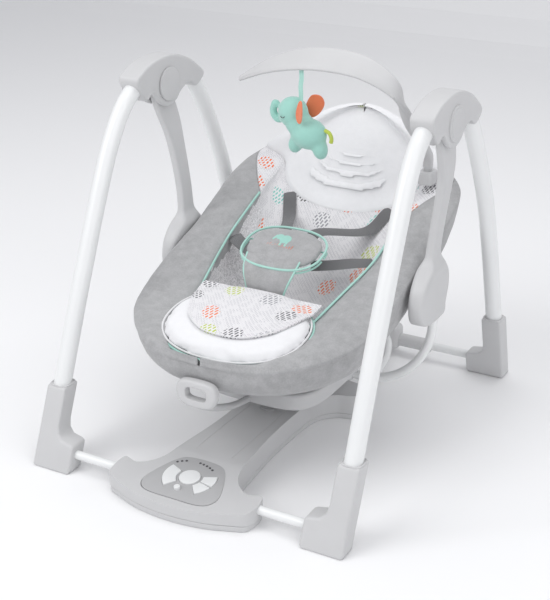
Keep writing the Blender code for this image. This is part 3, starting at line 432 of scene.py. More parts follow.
def all_finishes(colours):
    """Every finish of the swing, made once and shared."""
    shell = tuple(colours.shell)
    return {
        "coat": powder_coat("powder_coat_white", tuple(colours.coat)),
        "shell": moulded_plastic("moulded_light_grey", shell),
        "panel": moulded_plastic("moulded_mid_grey", tuple(colours.panel), 0.5),
        "button": moulded_plastic("button_white", tuple(colours.button), 0.34),
        "mark": moulded_plastic("marking_grey", (0.09, 0.09, 0.095), 0.5),
        "steel": drawn_metal("drawn_steel", (0.62, 0.63, 0.65)),
        "copper": drawn_metal("copper_winding", (0.70, 0.34, 0.18), 0.4),
        "jacket": moulded_plastic("cell_jacket", (0.16, 0.17, 0.19), 0.35),
        "board": circuit_lacquer("board_lacquer"),
        "velour": velour("velour_grey", tuple(colours.velour)),
        "cover": seat_cover_finish("seat_cover_cloth", colours),
        "print": printed_cotton("printed_cotton", tuple(colours.cotton)),
        "speckle": speckled_cotton("speckled_cotton", tuple(colours.cotton)),
        "minky": plush("plush_white", tuple(colours.minky), 700.0, 0.3),
        "piping": corded("piping_mint", tuple(colours.piping)),
        "edging": corded("edging_white", (0.80, 0.80, 0.81)),
        "webbing": webbing("webbing_grey", tuple(colours.webbing)),
        "toy": plush("toy_mint", tuple(colours.plush)),
        "coral": plush("toy_coral", tuple(colours.coral)),
        "lime": plush("toy_lime", tuple(colours.lime)),
    }


FINISHES = {}


# Modelling helpers --------------------------------------------------------------------------------------

def deselect():
    """Object mode with nothing selected."""
    if bpy.context.object and bpy.context.object.mode != "OBJECT":
        bpy.ops.object.mode_set(mode="OBJECT")
    bpy.ops.object.select_all(action="DESELECT")


def activate(*objects):
    """Selects the given objects alone, the first of them active."""
    deselect()
    for obj in objects:
        obj.select_set(True)
    bpy.context.view_layer.objects.active = objects[0]


@contextmanager
def edit_mode(obj):
    """Edit mode on one object, with all of it selected."""
    activate(obj)
    bpy.ops.object.mode_set(mode="EDIT")
    bpy.ops.mesh.select_all(action="SELECT")
    yield
    bpy.ops.object.mode_set(mode="OBJECT")


def primitive(kind, name, **how):
    """A mesh primitive, added alone and named."""
    deselect()
    getattr(bpy.ops.mesh, f"primitive_{kind}_add")(**how)
    obj = bpy.context.object
    obj.name = name
    obj.data.name = name
    bpy.ops.object.transform_apply(location=True, rotation=True, scale=True)
    return obj


def modify(obj, kind, **settings):
    """Adds a modifier and applies it."""
    activate(obj)
    modifier = obj.modifiers.new(kind.lower(), kind)
    for key, value in settings.items():
        setattr(modifier, key, value)
    bpy.ops.object.modifier_apply(modifier=modifier.name)
    return obj


def tidy_mesh(obj, merge=0.00001):
    """Merges doubles and turns faces outwards."""
    with edit_mode(obj):
        bpy.ops.mesh.remove_doubles(threshold=merge)
        bpy.ops.mesh.normals_make_consistent(inside=False)
    return obj


def smooth(obj, angle=40.0):
    """Smooth shading, with edges sharper than the angle kept sharp."""
    activate(obj)
    bpy.ops.object.shade_smooth_by_angle(angle=math.radians(angle))
    return obj


def fused(name, parts):
    """Several objects joined into one mesh."""
    activate(*parts)
    if len(parts) > 1:
        bpy.ops.object.join()
    bpy.context.object.name = name
    return bpy.context.object


def cut_away(obj, *cutters):
    """Takes the cutters' shapes out of a piece and removes the cutters."""
    for cutter in cutters:
        modify(obj, "BOOLEAN", operation="DIFFERENCE", solver="EXACT", object=cutter)
        bpy.data.objects.remove(cutter)
    return obj


def mirrored(obj, name):
    """A copy across the middle plane, with its faces turned the right way."""
    deselect()
    twin = obj.copy()
    twin.data = obj.data.copy()
    twin.name = name
    bpy.context.scene.collection.objects.link(twin)
    twin.data.transform(Matrix.Diagonal((-1.0, 1.0, 1.0, 1.0)))
    twin.data.flip_normals()
    return twin


def catmull_rom(a, b, c, d, t):
    """A point of the smooth curve between b and c, with a before and d after them."""
    return 0.5 * (2 * b + (c - a) * t + (2 * a - 5 * b + 4 * c - d) * t * t
                  + (3 * b - a - 3 * c + d) * t ** 3)


def curve_through(points, steps, closed=False):
    """Points of a smooth curve through the given ones."""
    given = [Vector(point) for point in points]
    count = len(given)
    route = []
    for index in range(count if closed else count - 1):
        if closed:
            a, b, c, d = (given[(index + shift) % count] for shift in (-1, 0, 1, 2))
        else:
            a = given[index - 1] if index else 2 * given[0] - given[1]
            b, c = given[index], given[index + 1]
            d = given[index + 2] if index + 2 < count else 2 * given[-1] - given[-2]
        route += [catmull_rom(a, b, c, d, step / steps) for step in range(steps)]
    if not closed:
        route.append(given[-1])
    return route


def pipe(name, points, radius, closed=False, roundness=4):
    """A round rod, tube or piping along points."""
    deselect()
    bpy.ops.curve.primitive_bezier_curve_add()
    obj = bpy.context.object
    obj.name = name
    curve = obj.data
    curve.splines.clear()
    spline = curve.splines.new("POLY")
    spline.points.add(len(points) - 1)
    for point, where in zip(spline.points, points):
        point.co = (*where, 1.0)
    spline.use_cyclic_u = closed
    curve.dimensions = "3D"
    curve.bevel_depth = radius
    curve.bevel_resolution = roundness
    curve.use_fill_caps = not closed
    bpy.ops.object.convert(target="MESH")
    bpy.context.object.data.name = name
    tidy_mesh(obj)
    return smooth(obj, 50.0)


AXES = {"XY": lambda a, b, c: (a, b, c), "XZ": lambda a, b, c: (a, c, b), "YZ": lambda a, b, c: (c, a, b)}


def slab(name, outline, low, high, plane="XY", rounding=0.0, segments=4):
    """A flat solid: an outline filled, extruded and rounded along its rims."""
    obj = primitive("circle", name, vertices=len(outline), fill_type="NGON")
    for vertex, (a, b) in zip(obj.data.vertices, outline):
        vertex.co = AXES[plane](a, b, low)
    with edit_mode(obj):
        bpy.ops.mesh.extrude_region_move(
            TRANSFORM_OT_translate={"value": AXES[plane](0.0, 0.0, high - low)})
        bpy.ops.mesh.select_all(action="SELECT")
        bpy.ops.mesh.normals_make_consistent(inside=False)
    if rounding:
        modify(obj, "BEVEL", width=rounding, segments=segments, limit_method="ANGLE",
               angle_limit=math.radians(50), use_clamp_overlap=False)
    return smooth(obj)


def sheet_of(name, rows, chart=None, cloth=None, closed=False):
    """A grid whose vertices stand at rows of points; chart and cloth give UV layers for the same points."""
    down, across = len(rows), len(rows[0])
    obj = primitive("grid", name, x_subdivisions=across - 1, y_subdivisions=down - 1)
    flat = np.array([tuple(point) for row in rows for point in row], float)
    obj.data.vertices.foreach_set("co", flat.ravel())
    loops = np.zeros(len(obj.data.loops), int)
    obj.data.loops.foreach_get("vertex_index", loops)
    for layer_name, values in (("cloth", cloth), ("chart", chart)):
        if values is not None:
            layer = obj.data.uv_layers.new(name=layer_name)
            table = np.array(values, float).reshape(-1, 2)
            layer.data.foreach_set("uv", table[loops].ravel())
    if closed:
        with edit_mode(obj):
            bpy.ops.mesh.remove_doubles(threshold=0.00002)
    obj.data.update()
    return obj


def capped(obj):
    """Closes open ends and turns faces outwards."""
    with edit_mode(obj):
        bpy.ops.mesh.select_all(action="DESELECT")
        bpy.ops.mesh.select_non_manifold(extend=False)
        bpy.ops.mesh.fill_holes(sides=0)
        bpy.ops.mesh.select_all(action="SELECT")
        bpy.ops.mesh.normals_make_consistent(inside=False)
    return obj


STUFFING_PRESSURE = 4.0
STUFFING_FRAMES = 20


def ruffled(obj, height, size):
    """Shallow folds and creases pressed into a surface."""
    texture = bpy.data.textures.new(f"{obj.name}_creases", "CLOUDS")
    texture.noise_scale = size
    texture.noise_depth = 2
    return modify(obj, "DISPLACE", texture=texture, strength=height, mid_level=0.5, texture_coords="LOCAL")


def vertex_places(obj):
    """The places of a mesh's vertices, one row each."""
    places = np.empty(len(obj.data.vertices) * 3)
    obj.data.vertices.foreach_get("co", places)
    return places.reshape(-1, 3)


def stuffed(obj, reach):
    """Blows a closed skin up by cloth pressure, no vertex further than its reach."""
    before = vertex_places(obj)
    activate(obj)
    cloth = obj.modifiers.new("stuffing", "CLOTH")
    cloth.settings.use_pressure = True
    cloth.settings.uniform_pressure_force = STUFFING_PRESSURE
    cloth.settings.effector_weights.gravity = 0.0
    cloth.settings.quality = 4
    cloth.point_cache.frame_start = 1
    cloth.point_cache.frame_end = STUFFING_FRAMES
    scene = bpy.context.scene
    for number in range(1, STUFFING_FRAMES + 1):
        scene.frame_set(number)
    bpy.ops.object.modifier_apply(modifier=cloth.name)
    scene.frame_set(1)
    moved = vertex_places(obj) - before
    lengths = np.linalg.norm(moved, axis=1, keepdims=True)
    moved *= np.minimum(1.0, reach / np.maximum(lengths, 1e-9))
    obj.data.vertices.foreach_set("co", (before + moved).ravel())


def swell(obj, reach, voxel, creases):
    """Makes a soft pad of a closed shape: remeshed evenly, stuffed, creased and subdivided."""
    modify(obj, "REMESH", mode="VOXEL", voxel_size=voxel)
    stuffed(obj, reach)
    modify(obj, "SMOOTH", factor=0.6, iterations=8)
    ruffled(obj, creases, 0.03)
    modify(obj, "SUBSURF", levels=1, render_levels=1)
    activate(obj)
    bpy.ops.object.shade_smooth()
    return obj


def dressed(obj, finish, body, slot, *nodes):
    """Gives a finished piece its material and its body, and hides the CAD nodes that it stands for; the slot
    is not used.
    """
    obj.data.materials.clear()
    obj.data.materials.append(FINISHES[finish])
    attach(obj, body)
    if nodes:
        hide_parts(*nodes)
    return obj


def dressed_pair(piece, finish, body, slot, *nodes):
    """Dresses a right-hand piece and its mirrored twin."""
    twin = mirrored(piece, piece.name.replace("right", "left"))
    for obj, side_name in ((piece, "right"), (twin, "left")):
        dressed(obj, finish, body, slot, *(f"{node}_{side_name}" for node in nodes))


def circle(x, y, radius, count=48):
    return [(x + radius * math.cos(math.tau * step / count), y + radius * math.sin(math.tau * step / count))
            for step in range(count)]


def smoothed(outline, steps=6):
    """A closed flat outline run through smoothly."""
    return [(point.x, point.y) for point in curve_through([(a, b, 0.0) for a, b in outline], steps, True)]


def both_halves(half):
    """A closed outline from its right half, which begins and ends on the middle."""
    return half + [(-x, y) for x, y in reversed(half) if x > 0.0001]


def superellipse(half_a, half_b, power, count):
    """Points round a boxy oval centred on nothing."""
    ring = []
    for step in range(count):
        angle = math.tau * step / count
        c, s = math.cos(angle), math.sin(angle)
        ring.append((half_a * math.copysign(abs(c) ** (2 / power), c),
                     half_b * math.copysign(abs(s) ** (2 / power), s)))
    return ring


# Frame --------------------------------------------------------------------------------------------------

FRONT_LEG = [(0.2700, -0.3300, 0.0620), (0.2700, -0.3020, 0.1280), (0.2685, -0.2350, 0.2930),
             (0.2670, -0.1660, 0.4500), (0.2655, -0.1330, 0.5130), (0.2645, -0.1060, 0.5500),
             (0.2640, -0.0820, 0.5700), (0.2640, -0.0640, 0.5800)]
REAR_LEG = [(0.2700, 0.3110, 0.0660), (0.2700, 0.2910, 0.1330), (0.2685, 0.2470, 0.2800),
            (0.2670, 0.2140, 0.3760), (0.2655, 0.1720, 0.4620), (0.2645, 0.1310, 0.5300),
            (0.2640, 0.1000, 0.5720)]
RAIL = [(0.0520, 0.3020, 0.0400), (0.0700, 0.2700, 0.0385), (0.0860, 0.2200, 0.0330),
        (0.0900, 0.1600, 0.0280), (0.0820, 0.0780, 0.0260)]


RAIL_RADIUS = 0.0065
TUBE_END = 0.2445
FRONT_SOCKET, REAR_SOCKET = 0.106, 0.112     # how near the middle the cross tubes run


def sided(points, side):
    return [(side * x, y, z) for x, y, z in points]


def legs_and_tubes():
    """The four leg tubes, the four cross tubes and the two rails."""
    for side_name, side in SIDES.items():
        for end, leg in (("front", FRONT_LEG), ("rear", REAR_LEG)):
            name = f"{end}_leg_{side_name}"
            tube = pipe(f"{name}_tube", curve_through(sided(leg, side), 8), LEG_RADIUS, roundness=8)
            dressed(tube, "coat", "frame", "painted_tube", name)
        for end, (y, z), socket in (("front", FRONT_TUBE, FRONT_SOCKET), ("rear", REAR_TUBE, REAR_SOCKET)):
            route = curve_through([(side * TUBE_END, y, z), (side * socket, y, z)], 4)
            name = f"{end}_cross_tube_{side_name}"
            rod = pipe(f"{name}_rod", route, CROSS_RADIUS, roundness=6)
            dressed(rod, "coat", "frame", "painted_tube", name)
        route = curve_through(sided(RAIL, side), 8)
        rail = pipe(f"base_rail_{side_name}_rod", route, RAIL_RADIUS, roundness=6)
        dressed(rail, "coat", "frame", "painted_tube", f"base_rail_{side_name}")


def feet():
    """The four boot-shaped feet, each leaning with its leg and collared round it."""
    outer, inner = 0.2885, 0.2515
    for end, leg in (("front", FRONT_LEG), ("rear", REAR_LEG)):
        (_, low_y, low_z), (high_x, high_y, top) = leg[:2]
        outline = [(outer - 0.002, 0.0), (outer, 0.003), (outer, top), (inner, top), (inner, 0.070),
                   (inner - 0.003, 0.057), (inner - 0.012, 0.049), (0.222, 0.046), (0.215, 0.043),
                   (0.215, 0.004), (0.218, 0.0)]
        lean = (high_y - low_y) / (top - low_z)
        foot = slab(f"{end}_foot_right_boot", outline, -0.0185, 0.0185, "XZ", 0.0042, 4)
        for vertex in foot.data.vertices:
            vertex.co.y += low_y + lean * (vertex.co.z - low_z)
        collar = [(high_x + x, high_y + y, top) for x, y in superellipse(0.0166, 0.0166, 4.0, 32)]
        foot = fused(foot.name, [foot, pipe("foot_collar", collar, 0.0014, closed=True)])
        dressed_pair(foot, "shell", "frame", "light_plastic", f"{end}_foot")


HUB = [(-0.0865, 0.5935), (-0.070, 0.6070), (-0.045, 0.6165), (-0.010, 0.6215), (0.030, 0.6195),
       (0.070, 0.6060), (0.100, 0.5880), (0.1215, 0.5680), (0.0950, 0.5500), (0.0720, 0.5610),
       (0.0450, 0.5520), (0.0300, 0.5390), (0.0060, 0.5330), (-0.0180, 0.5420), (-0.0400, 0.5640),
       (-0.0520, 0.5590), (-0.0645, 0.5570)]


def hubs():
    """The hub covers, each with room for its arm, and the caps on both of their faces."""
    face, back = HUB_X + HUB_HALF, HUB_X - HUB_HALF
    cover = slab("hub_right_cover", smoothed(HUB), back, face, "YZ")
    for outline in ([(-0.046, 0.500), (0.062, 0.500), (0.062, 0.573), (-0.046, 0.573)],
                    circle(PIVOT.y, PIVOT.z, 0.034)):
        cut_away(cover, slab("arm_room", outline, HUB_X - ARM_ROOM_HALF, HUB_X + ARM_ROOM_HALF, "YZ"))
    modify(cover, "REMESH", mode="VOXEL", voxel_size=0.0016)
    modify(cover, "SMOOTH", factor=0.7, iterations=14)
    smooth(cover, 60.0)

    def cap(name, radius, low, high):
        return slab(name, circle(PIVOT.y, PIVOT.z, radius, 64), low, high, "YZ", 0.0012, 3)

    outer_cap = fused("hub_right_outer_cap", [cap("cap", 0.0290, face - 0.0020, face + 0.0030),
                                              cap("cap", 0.0245, face, face + 0.0042)])
    inner_cap = cap("hub_right_inner_cap", 0.0290, back - 0.0042, back - 0.0003)
    dressed_pair(cover, "shell", "frame", "light_plastic", "hub_outer_shell", "hub_inner_shell")
    dressed_pair(outer_cap, "shell", "frame", "light_plastic", "pivot_shaft")
    dressed_pair(inner_cap, "shell", "frame", "light_plastic", "hub_inner_cap")


BASE_HALF = [(0.000, -0.408), (0.058, -0.402), (0.104, -0.387), (0.130, -0.372), (0.130, -0.330),
             (0.104, -0.334), (0.080, -0.318), (0.066, -0.290), (0.060, -0.240), (0.053, -0.160),
             (0.053, -0.060), (0.060, -0.010), (0.082, 0.018), (0.112, 0.030), (0.118, 0.050),
             (0.108, 0.074), (0.070, 0.082), (0.000, 0.084)]
PANEL = [(0.000, -0.392), (0.050, -0.390), (0.068, -0.374), (0.066, -0.348), (0.046, -0.304),
         (0.024, -0.290), (-0.024, -0.290), (-0.046, -0.304), (-0.066, -0.348), (-0.068, -0.374),
         (-0.050, -0.390)]
KNOB = (-0.004, -0.3675, 0.0052)
BEAM_GROOVES = [[(side * 0.034, -0.262), (side * 0.034, -0.150), (side * 0.030, -0.040)]
                for side in (-1, 1)]
BASE_FLOOR, BASE_TOP = 0.0112, 0.0470
LOCK_Y = -0.084


def panel_place():
    """Panel space, with z off its face, to the swing's space."""
    return (Matrix.Translation((0, *PANEL_PIVOT)) @ Matrix.Rotation(PANEL_TILT, 4, "X")
            @ Matrix.Translation((0, -PANEL_PIVOT[0], 0)))


def leaf(side, low, high):
    """Outline of a button beside the round one, from a low to a high angle in degrees."""
    angles = [math.radians(low + (high - low) * step / 12) for step in range(13)]
    clear, depth = ROUND_BUTTON[2] + 0.0048, 0.0230
    inner = [(side * clear * math.cos(a), ROUND_BUTTON[1] + clear * math.sin(a)) for a in angles]
    outer = [(side * (clear + depth * math.cos(a * 0.6)) * math.cos(a),
              ROUND_BUTTON[1] + (clear + depth) * math.sin(a)) for a in reversed(angles)]
    return inner + outer


def base_housing():
    """The front base with its tilted face, well and grooves, its bottom tray, and the rear housing."""
    outline = smoothed(both_halves(BASE_HALF), 5)
    top = slab("base_top_housing", outline, BASE_FLOOR, BASE_TOP)
    with edit_mode(top):
        for y in (PANEL_PIVOT[0], -0.300, -0.330, -0.370):
            bpy.ops.mesh.select_all(action="SELECT")
            bpy.ops.mesh.bisect(plane_co=(0, y, 0), plane_no=(0, 1, 0))
    for vertex in top.data.vertices:
        if vertex.co.z > 0.040 and vertex.co.y < PANEL_PIVOT[0]:
            vertex.co.z += (vertex.co.y - PANEL_PIVOT[0]) * math.tan(PANEL_TILT)
    modify(top, "BEVEL", width=0.0065, segments=5, limit_method="ANGLE", angle_limit=math.radians(50))
    well = slab("panel_well", smoothed(PANEL), -0.0100, 0.0200)
    well.data.transform(panel_place())
    oval = [(1.02 * x, 1.02 * y + LOCK_Y) for x, y in superellipse(0.0144, 0.0088, 2.0, 48)]
    cutters = [well, slab("lock_well", oval, 0.0300, 0.0600)]
    for groove in BEAM_GROOVES:
        route = curve_through([(x, y, BASE_TOP + 0.0003) for x, y in groove], 6)
        cutters.append(pipe("groove", route, 0.0009))
    smooth(cut_away(top, *cutters), 35.0)
    dressed(top, "shell", "frame", "light_plastic", "base_top_shell")
    bottom = slab("base_bottom_tray", [(0.99 * x, y) for x, y in outline], 0.0, 0.0107, "XY", 0.0022, 3)
    dressed(bottom, "shell", "frame", "light_plastic", "base_bottom_cover")

    body = slab("rear_drive_housing", superellipse(0.072, 0.024, 4.0, 64), 0.0122, 0.0600, "XY", 0.0090, 5)
    body.data.transform(Matrix.Translation((0, 0.323, 0)))
    parts = [body]
    for name, start, end, radius in (("sleeve", 0.055, 0.134, 0.0128), ("sleeve_lip", 0.130, 0.135, 0.0134)):
        for side in SIDES.values():
            route = [(side * start, *REAR_TUBE), (side * end, *REAR_TUBE)]
            parts.append(pipe(name, route, radius, roundness=8))
    dressed(fused("rear_drive_housing", parts), "shell", "frame", "light_plastic", "rear_housing")


# Outline, rise off the panel and rounding of each button.
BUTTON_SHAPES = {
    "speed_button": (circle(*ROUND_BUTTON, 64), 0.0030, 0.0014),
    "power_knob": (circle(*KNOB, 32), 0.0058, 0.0010),
    "timer_button": (leaf(-1, -48, 22), 0.0030, 0.0010),
    "sound_button": (leaf(1, -10, 22), 0.0030, 0.0010),
    "volume_button": (leaf(1, -48, -14), 0.0030, 0.0010),
}
LIGHTS = [(-0.0405, -0.3090), (-0.0345, -0.3045), (-0.0280, -0.3010), (-0.0040, -0.2975),
          (0.0030, -0.2985), (0.0100, -0.3000), (0.0170, -0.3025), (0.0235, -0.3055)]


def control_panel():
    """The panel plate with its lights and buttons, and the oval button in the beam."""
    plate = slab("control_panel_face", smoothed([(0.992 * x, 0.997 * y) for x, y in PANEL]), -0.0090, 0.0008,
                 "XY", 0.0007, 2)
    cutters = []
    for outline, _, _ in BUTTON_SHAPES.values():
        corners = [Vector(point) for point in outline]
        middle = sum(corners, Vector((0.0, 0.0))) / len(corners)
        wide = [tuple(middle + (corner - middle) * 1.035) for corner in corners]
        cutters.append(slab("button_hole", wide, -0.0060, 0.0100))
    smooth(cut_away(plate, *cutters), 35.0)
    lights = [slab("light", circle(x, y, 0.0021, 16), 0.0, 0.0014, "XY", 0.0003, 2) for x, y in LIGHTS]
    dots = fused("control_panel_lights", lights)
    for obj in (plate, dots):
        obj.data.transform(panel_place())
    dressed(plate, "panel", "frame", "dark_plastic", "control_panel")
    dressed(dots, "mark", "frame", "dark_plastic")
    for name, (outline, rise, rounding) in BUTTON_SHAPES.items():
        button = slab(f"{name}_face", outline, -0.0042, rise, "XY", rounding, 4)
        button.data.transform(panel_place())
        dressed(button, "button", name, "button_plastic", name)
    oval = [(x, y + LOCK_Y) for x, y in superellipse(0.0140, 0.0084, 2.0, 48)]
    lock = slab("lock_button_face", oval, 0.0405, 0.0490, "XY", 0.0016, 4)
    dressed(lock, "panel", "lock_button", "dark_plastic", "lock_button")


# Carrier ------------------------------------------------------------------------------------------------

ARM_FRONT = [(-0.0130, 0.5870), (-0.0190, 0.5730), (-0.0150, 0.5500), (-0.0030, 0.5200), (0.0130, 0.4850),
             (0.0220, 0.4500), (0.0270, 0.4000), (0.0270, 0.3500), (0.0200, 0.3250), (-0.0050, 0.3050),
             (-0.0200, 0.2850), (-0.0240, 0.2550), (-0.0120, 0.2300), (0.0200, 0.2190)]
ARM_BACK = [(0.0210, 0.5850), (0.0260, 0.5730), (0.0320, 0.5550), (0.0460, 0.5300), (0.0560, 0.5000),
            (0.0590, 0.4700), (0.0600, 0.4300), (0.0610, 0.3800), (0.0620, 0.3400), (0.0740, 0.3180),
            (0.0920, 0.2960), (0.0960, 0.2700), (0.0860, 0.2450), (0.0820, 0.2260), (0.0500, 0.2190)]
CARRIER_X = 0.241
CARRIER_Y = 0.060
CARRIER_Z = 0.0745
CARRIER_BEND = 0.1305
ARM_TOP, ARM_FOOT = 0.5925, 0.2188


def eased(fraction):
    """A smooth step from 0 to 1."""
    fraction = min(max(fraction, 0.0), 1.0)
    return fraction * fraction * (3 - 2 * fraction)


def edge_of(outline, heights):
    """The y of one edge of the arm at each height."""
    route = curve_through([(0.0, y, z) for y, z in outline], 8)
    levels = np.array([point.z for point in route])[::-1]
    return np.interp(heights, np.maximum.accumulate(levels), np.array([point.y for point in route])[::-1])


def swing_arms():
    """The two arms: a flat blade that leans inwards and swells into a lower housing."""
    levels = np.concatenate([np.linspace(ARM_TOP, 0.345, 48), np.linspace(0.342, 0.300, 18),
                             np.linspace(0.296, ARM_FOOT, 26)])
    rows = []
    for z, front, back in zip(levels, edge_of(ARM_FRONT, levels), edge_of(ARM_BACK, levels)):
        centre_x = HUB_X - (HUB_X - CARRIER_X) * eased((0.545 - z) / 0.230)
        shut = min(1.0, 0.35 + (z - ARM_FOOT) / 0.006, 0.35 + (ARM_TOP - z) / 0.006)
        half_x = (0.0085 + 0.0080 * eased((0.338 - z) / 0.026)) * shut
        half_y = (back - front) / 2 * (0.85 + 0.15 * shut)
        ring = superellipse(half_x, half_y, 4.5, 40)
        rows.append([(centre_x + a, (front + back) / 2 + b, z) for a, b in ring + ring[:1]])
    arm = smooth(capped(sheet_of("swing_arm_right_cover", rows, closed=True)), 50.0)
    dressed_pair(arm, "shell", "carrier", "light_plastic", "swing_arm")


def carrier():
    """The bent tube from arm to arm under the seat."""
    corner_x, corner_z = CARRIER_X - CARRIER_BEND, CARRIER_Z + CARRIER_BEND
    half = [(CARRIER_X, CARRIER_Y, 0.270), (CARRIER_X, CARRIER_Y, 0.235)]
    for step in range(25):
        angle = math.pi / 2 * step / 24
        half.append((corner_x + CARRIER_BEND * math.cos(angle), CARRIER_Y,
                     corner_z - CARRIER_BEND * math.sin(angle)))
    route = half + [(-x, y, z) for x, y, z in reversed(half)]
    hoop = pipe("carrier_hoop", route, CARRIER_RADIUS, roundness=8)
    dressed(hoop, "coat", "carrier", "painted_tube", "carrier_tube")


# Seat ---------------------------------------------------------------------------------------------------

def along(table, place):
    """A smooth point of a table of stations."""
    values = np.asarray(table, float)
    last = len(values) - 1
    place = min(max(place, 0.0), float(last))
    index = min(int(place), last - 1)
    b, c = values[index], values[index + 1]
    a = values[index - 1] if index else 2 * b - c
    d = values[index + 2] if index + 2 <= last else 2 * c - b
    return catmull_rom(a, b, c, d, place - index)


def rim_point(place):
    """A point of the rim on the right side, which runs level through the middle plane at both ends."""
    before, after = SEAT_RIM[1], SEAT_RIM[-2]
    return along([(-before[0], *before[1:]), *SEAT_RIM, (-after[0], *after[1:])], place + 1)


def rim_frame(place):
    """Rim point of the right side with its outward and upward directions."""
    rim = rim_point(place)
    tangent = rim_point(place + 0.02) - rim_point(place - 0.02)
    tangent /= np.linalg.norm(tangent)
    up = np.array([0.0, -tangent[2], tangent[1]])
    up /= max(np.linalg.norm(up), 1e-6)
    outward = np.cross(tangent, up)
    outward /= np.linalg.norm(outward)
    outward[0] *= min(1.0, max(rim[0] - 0.001, 0.0) / 0.03)
    return rim, outward, up


def bowl_edge(place):
    """Right edge of the liner at a station, where the piping runs."""
    rim = rim_point(place)
    half = max(float(along(BOWL_HALF, place)), 0.0005)
    return np.array([min(half, rim[0] * 0.95), rim[1], rim[2] + 0.0030])


def arch_point(edge, keel, angle):
    """A point of the bowl's section: 0 at the right edge, a half turn at the left one."""
    c, s = math.cos(angle), max(math.sin(angle), 0.0)
    down = s ** (2 / BOXINESS)
    return np.array([edge[0] * math.copysign(abs(c) ** (2 / BOXINESS), c),
                     edge[1] + (keel[1] - edge[1]) * down, edge[2] + (keel[2] - edge[2]) * down])


def arch(edge, keel, count):
    """Points from the right edge through the keel to the left edge."""
    return [arch_point(edge, keel, math.pi * step / count) for step in range(count + 1)]


def turned_left(points):
    """Points of the right side mirrored, in turned order."""
    return [point * np.array([-1.0, 1.0, 1.0]) for point in reversed(points)]


def arc_lengths(rows):
    """Metric places across and along a grid of points, for a cloth pattern."""
    grid = np.array([[tuple(point) for point in row] for row in rows])
    across = np.zeros(grid.shape[:2])
    across[:, 1:] = np.cumsum(np.linalg.norm(np.diff(grid, axis=1), axis=2), axis=1)
    middle = grid.shape[1] // 2
    across -= across[:, middle:middle + 1]
    down = np.zeros(grid.shape[:2])
    steps = np.linalg.norm(np.diff(grid, axis=0), axis=2).mean(axis=1)
    down[1:] = np.cumsum(steps)[:, None]
    return np.stack([across, down], axis=2)


def padded_band(sizes, place, edge):
    """Points round the rim's right side and over the padded band to the liner's edge, with their shares."""
    roll = 0.0045
    rim, outward, up = rim_frame(place)
    points = [rim + (outward * math.cos(angle) * 0.55 + up * (math.sin(angle) + 0.5)) * roll
              for angle in np.linspace(-0.5, 1.45, 6)]
    shares = [0.0] * len(points)
    top = points[-1]
    for share in np.linspace(0.0, 1.0, 12)[1:]:
        crown = sizes.rim_puff * math.sin(math.pi * share ** 0.85) ** 0.7 * (1 - 0.25 * share)
        points.append(top * (1 - share) + edge * share + up * crown)
        shares.append(share)
    return points, shares


def seat_cover(sizes):
    """The velour cover: outer wall, padded band over the rim, and a tuck under the liner."""
    stations = np.concatenate([np.linspace(0.03, 0.4, 5), np.linspace(0.5, 11.5, 100),
                               np.linspace(11.6, SEAT_END, 8)])
    rows, chart = [], []
    for place in stations:
        rim, _, up = rim_frame(place)
        keel = np.array([0.0, *along(SEAT_KEEL, place)[1:]])
        edge = bowl_edge(place)
        wall = arch(rim, keel, 32)[1:-1]
        band, shares = padded_band(sizes, place, edge)
        under = arch(edge - up * 0.004, along(LINER_KEEL, place) * 0.93 + keel * 0.07, 20)[1:-1]
        ring = wall[::-1] + band + under + turned_left(band)
        rows.append(ring + ring[:1])
        shares = [0.0] * len(wall) + shares + [1.0] * len(under) + shares[::-1]
        chart.append([(share, place) for share in shares + shares[:1]])
    cover = sheet_of("seat_cover_velour", rows, chart=chart, cloth=arc_lengths(rows), closed=True)
    ruffled(capped(cover), 0.0030, 0.045)
    smooth(cover, 80.0)
    dressed(cover, "cover", "seat", "grey_velour", "seat_shell_cover", "seat_ring")


LINER_START, LINER_END = 2.6, 11.9
PIPING_START, PIPING_END = 3.1, 7.45
SPECKLE_END = 7.5                   # station up to which the sides of the liner are speckled


def print_share(place):
    """Which share of the liner's width the printed panel takes at a station."""
    return 0.40 + 0.30 * eased((place - 5.2) / 2.2)


def seat_liner(sizes):
    """The printed liner down the middle with a speckled panel and a seam each side of it."""
    across = 44
    rows = [arch(bowl_edge(place), along(LINER_KEEL, place), across)
            for place in np.linspace(LINER_START, LINER_END, 90)]
    liner = tidy_mesh(sheet_of("seat_liner_print", rows, cloth=arc_lengths(rows)))
    face = max(liner.data.polygons, key=lambda polygon: polygon.area)
    if face.normal.z < 0:
        liner.data.flip_normals()
    for finish in ("print", "speckle"):
        liner.data.materials.append(FINISHES[finish])
    for number, polygon in enumerate(liner.data.polygons):
        row, column = divmod(number, across)
        place = LINER_START + (LINER_END - LINER_START) * (row + 0.5) / (len(rows) - 1)
        off_centre = abs((column + 0.5) / across * 2 - 1)
        polygon.material_index = int(off_centre > print_share(place) and place < SPECKLE_END)
    ruffled(liner, 0.0022, 0.03)
    modify(liner, "SOLIDIFY", thickness=sizes.liner_thick, offset=-1.0)
    smooth(liner, 70.0)
    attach(liner, "seat")
    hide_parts("seat_liner")
    seams = []
    for side in (1, -1):
        line = []
        for place in np.linspace(3.2, PIPING_END, 30):
            ring = arch(bowl_edge(place), along(LINER_KEEL, place), 60)
            point = ring[round(30 * (1 - side * print_share(place)))]
            line.append(point + np.array([-side * 0.0006, 0.0, 0.0012]))
        seams.append(pipe("seam", line, 0.0008, roundness=2))
    dressed(fused("liner_seams", seams), "edging", "seat", "printed_cotton")


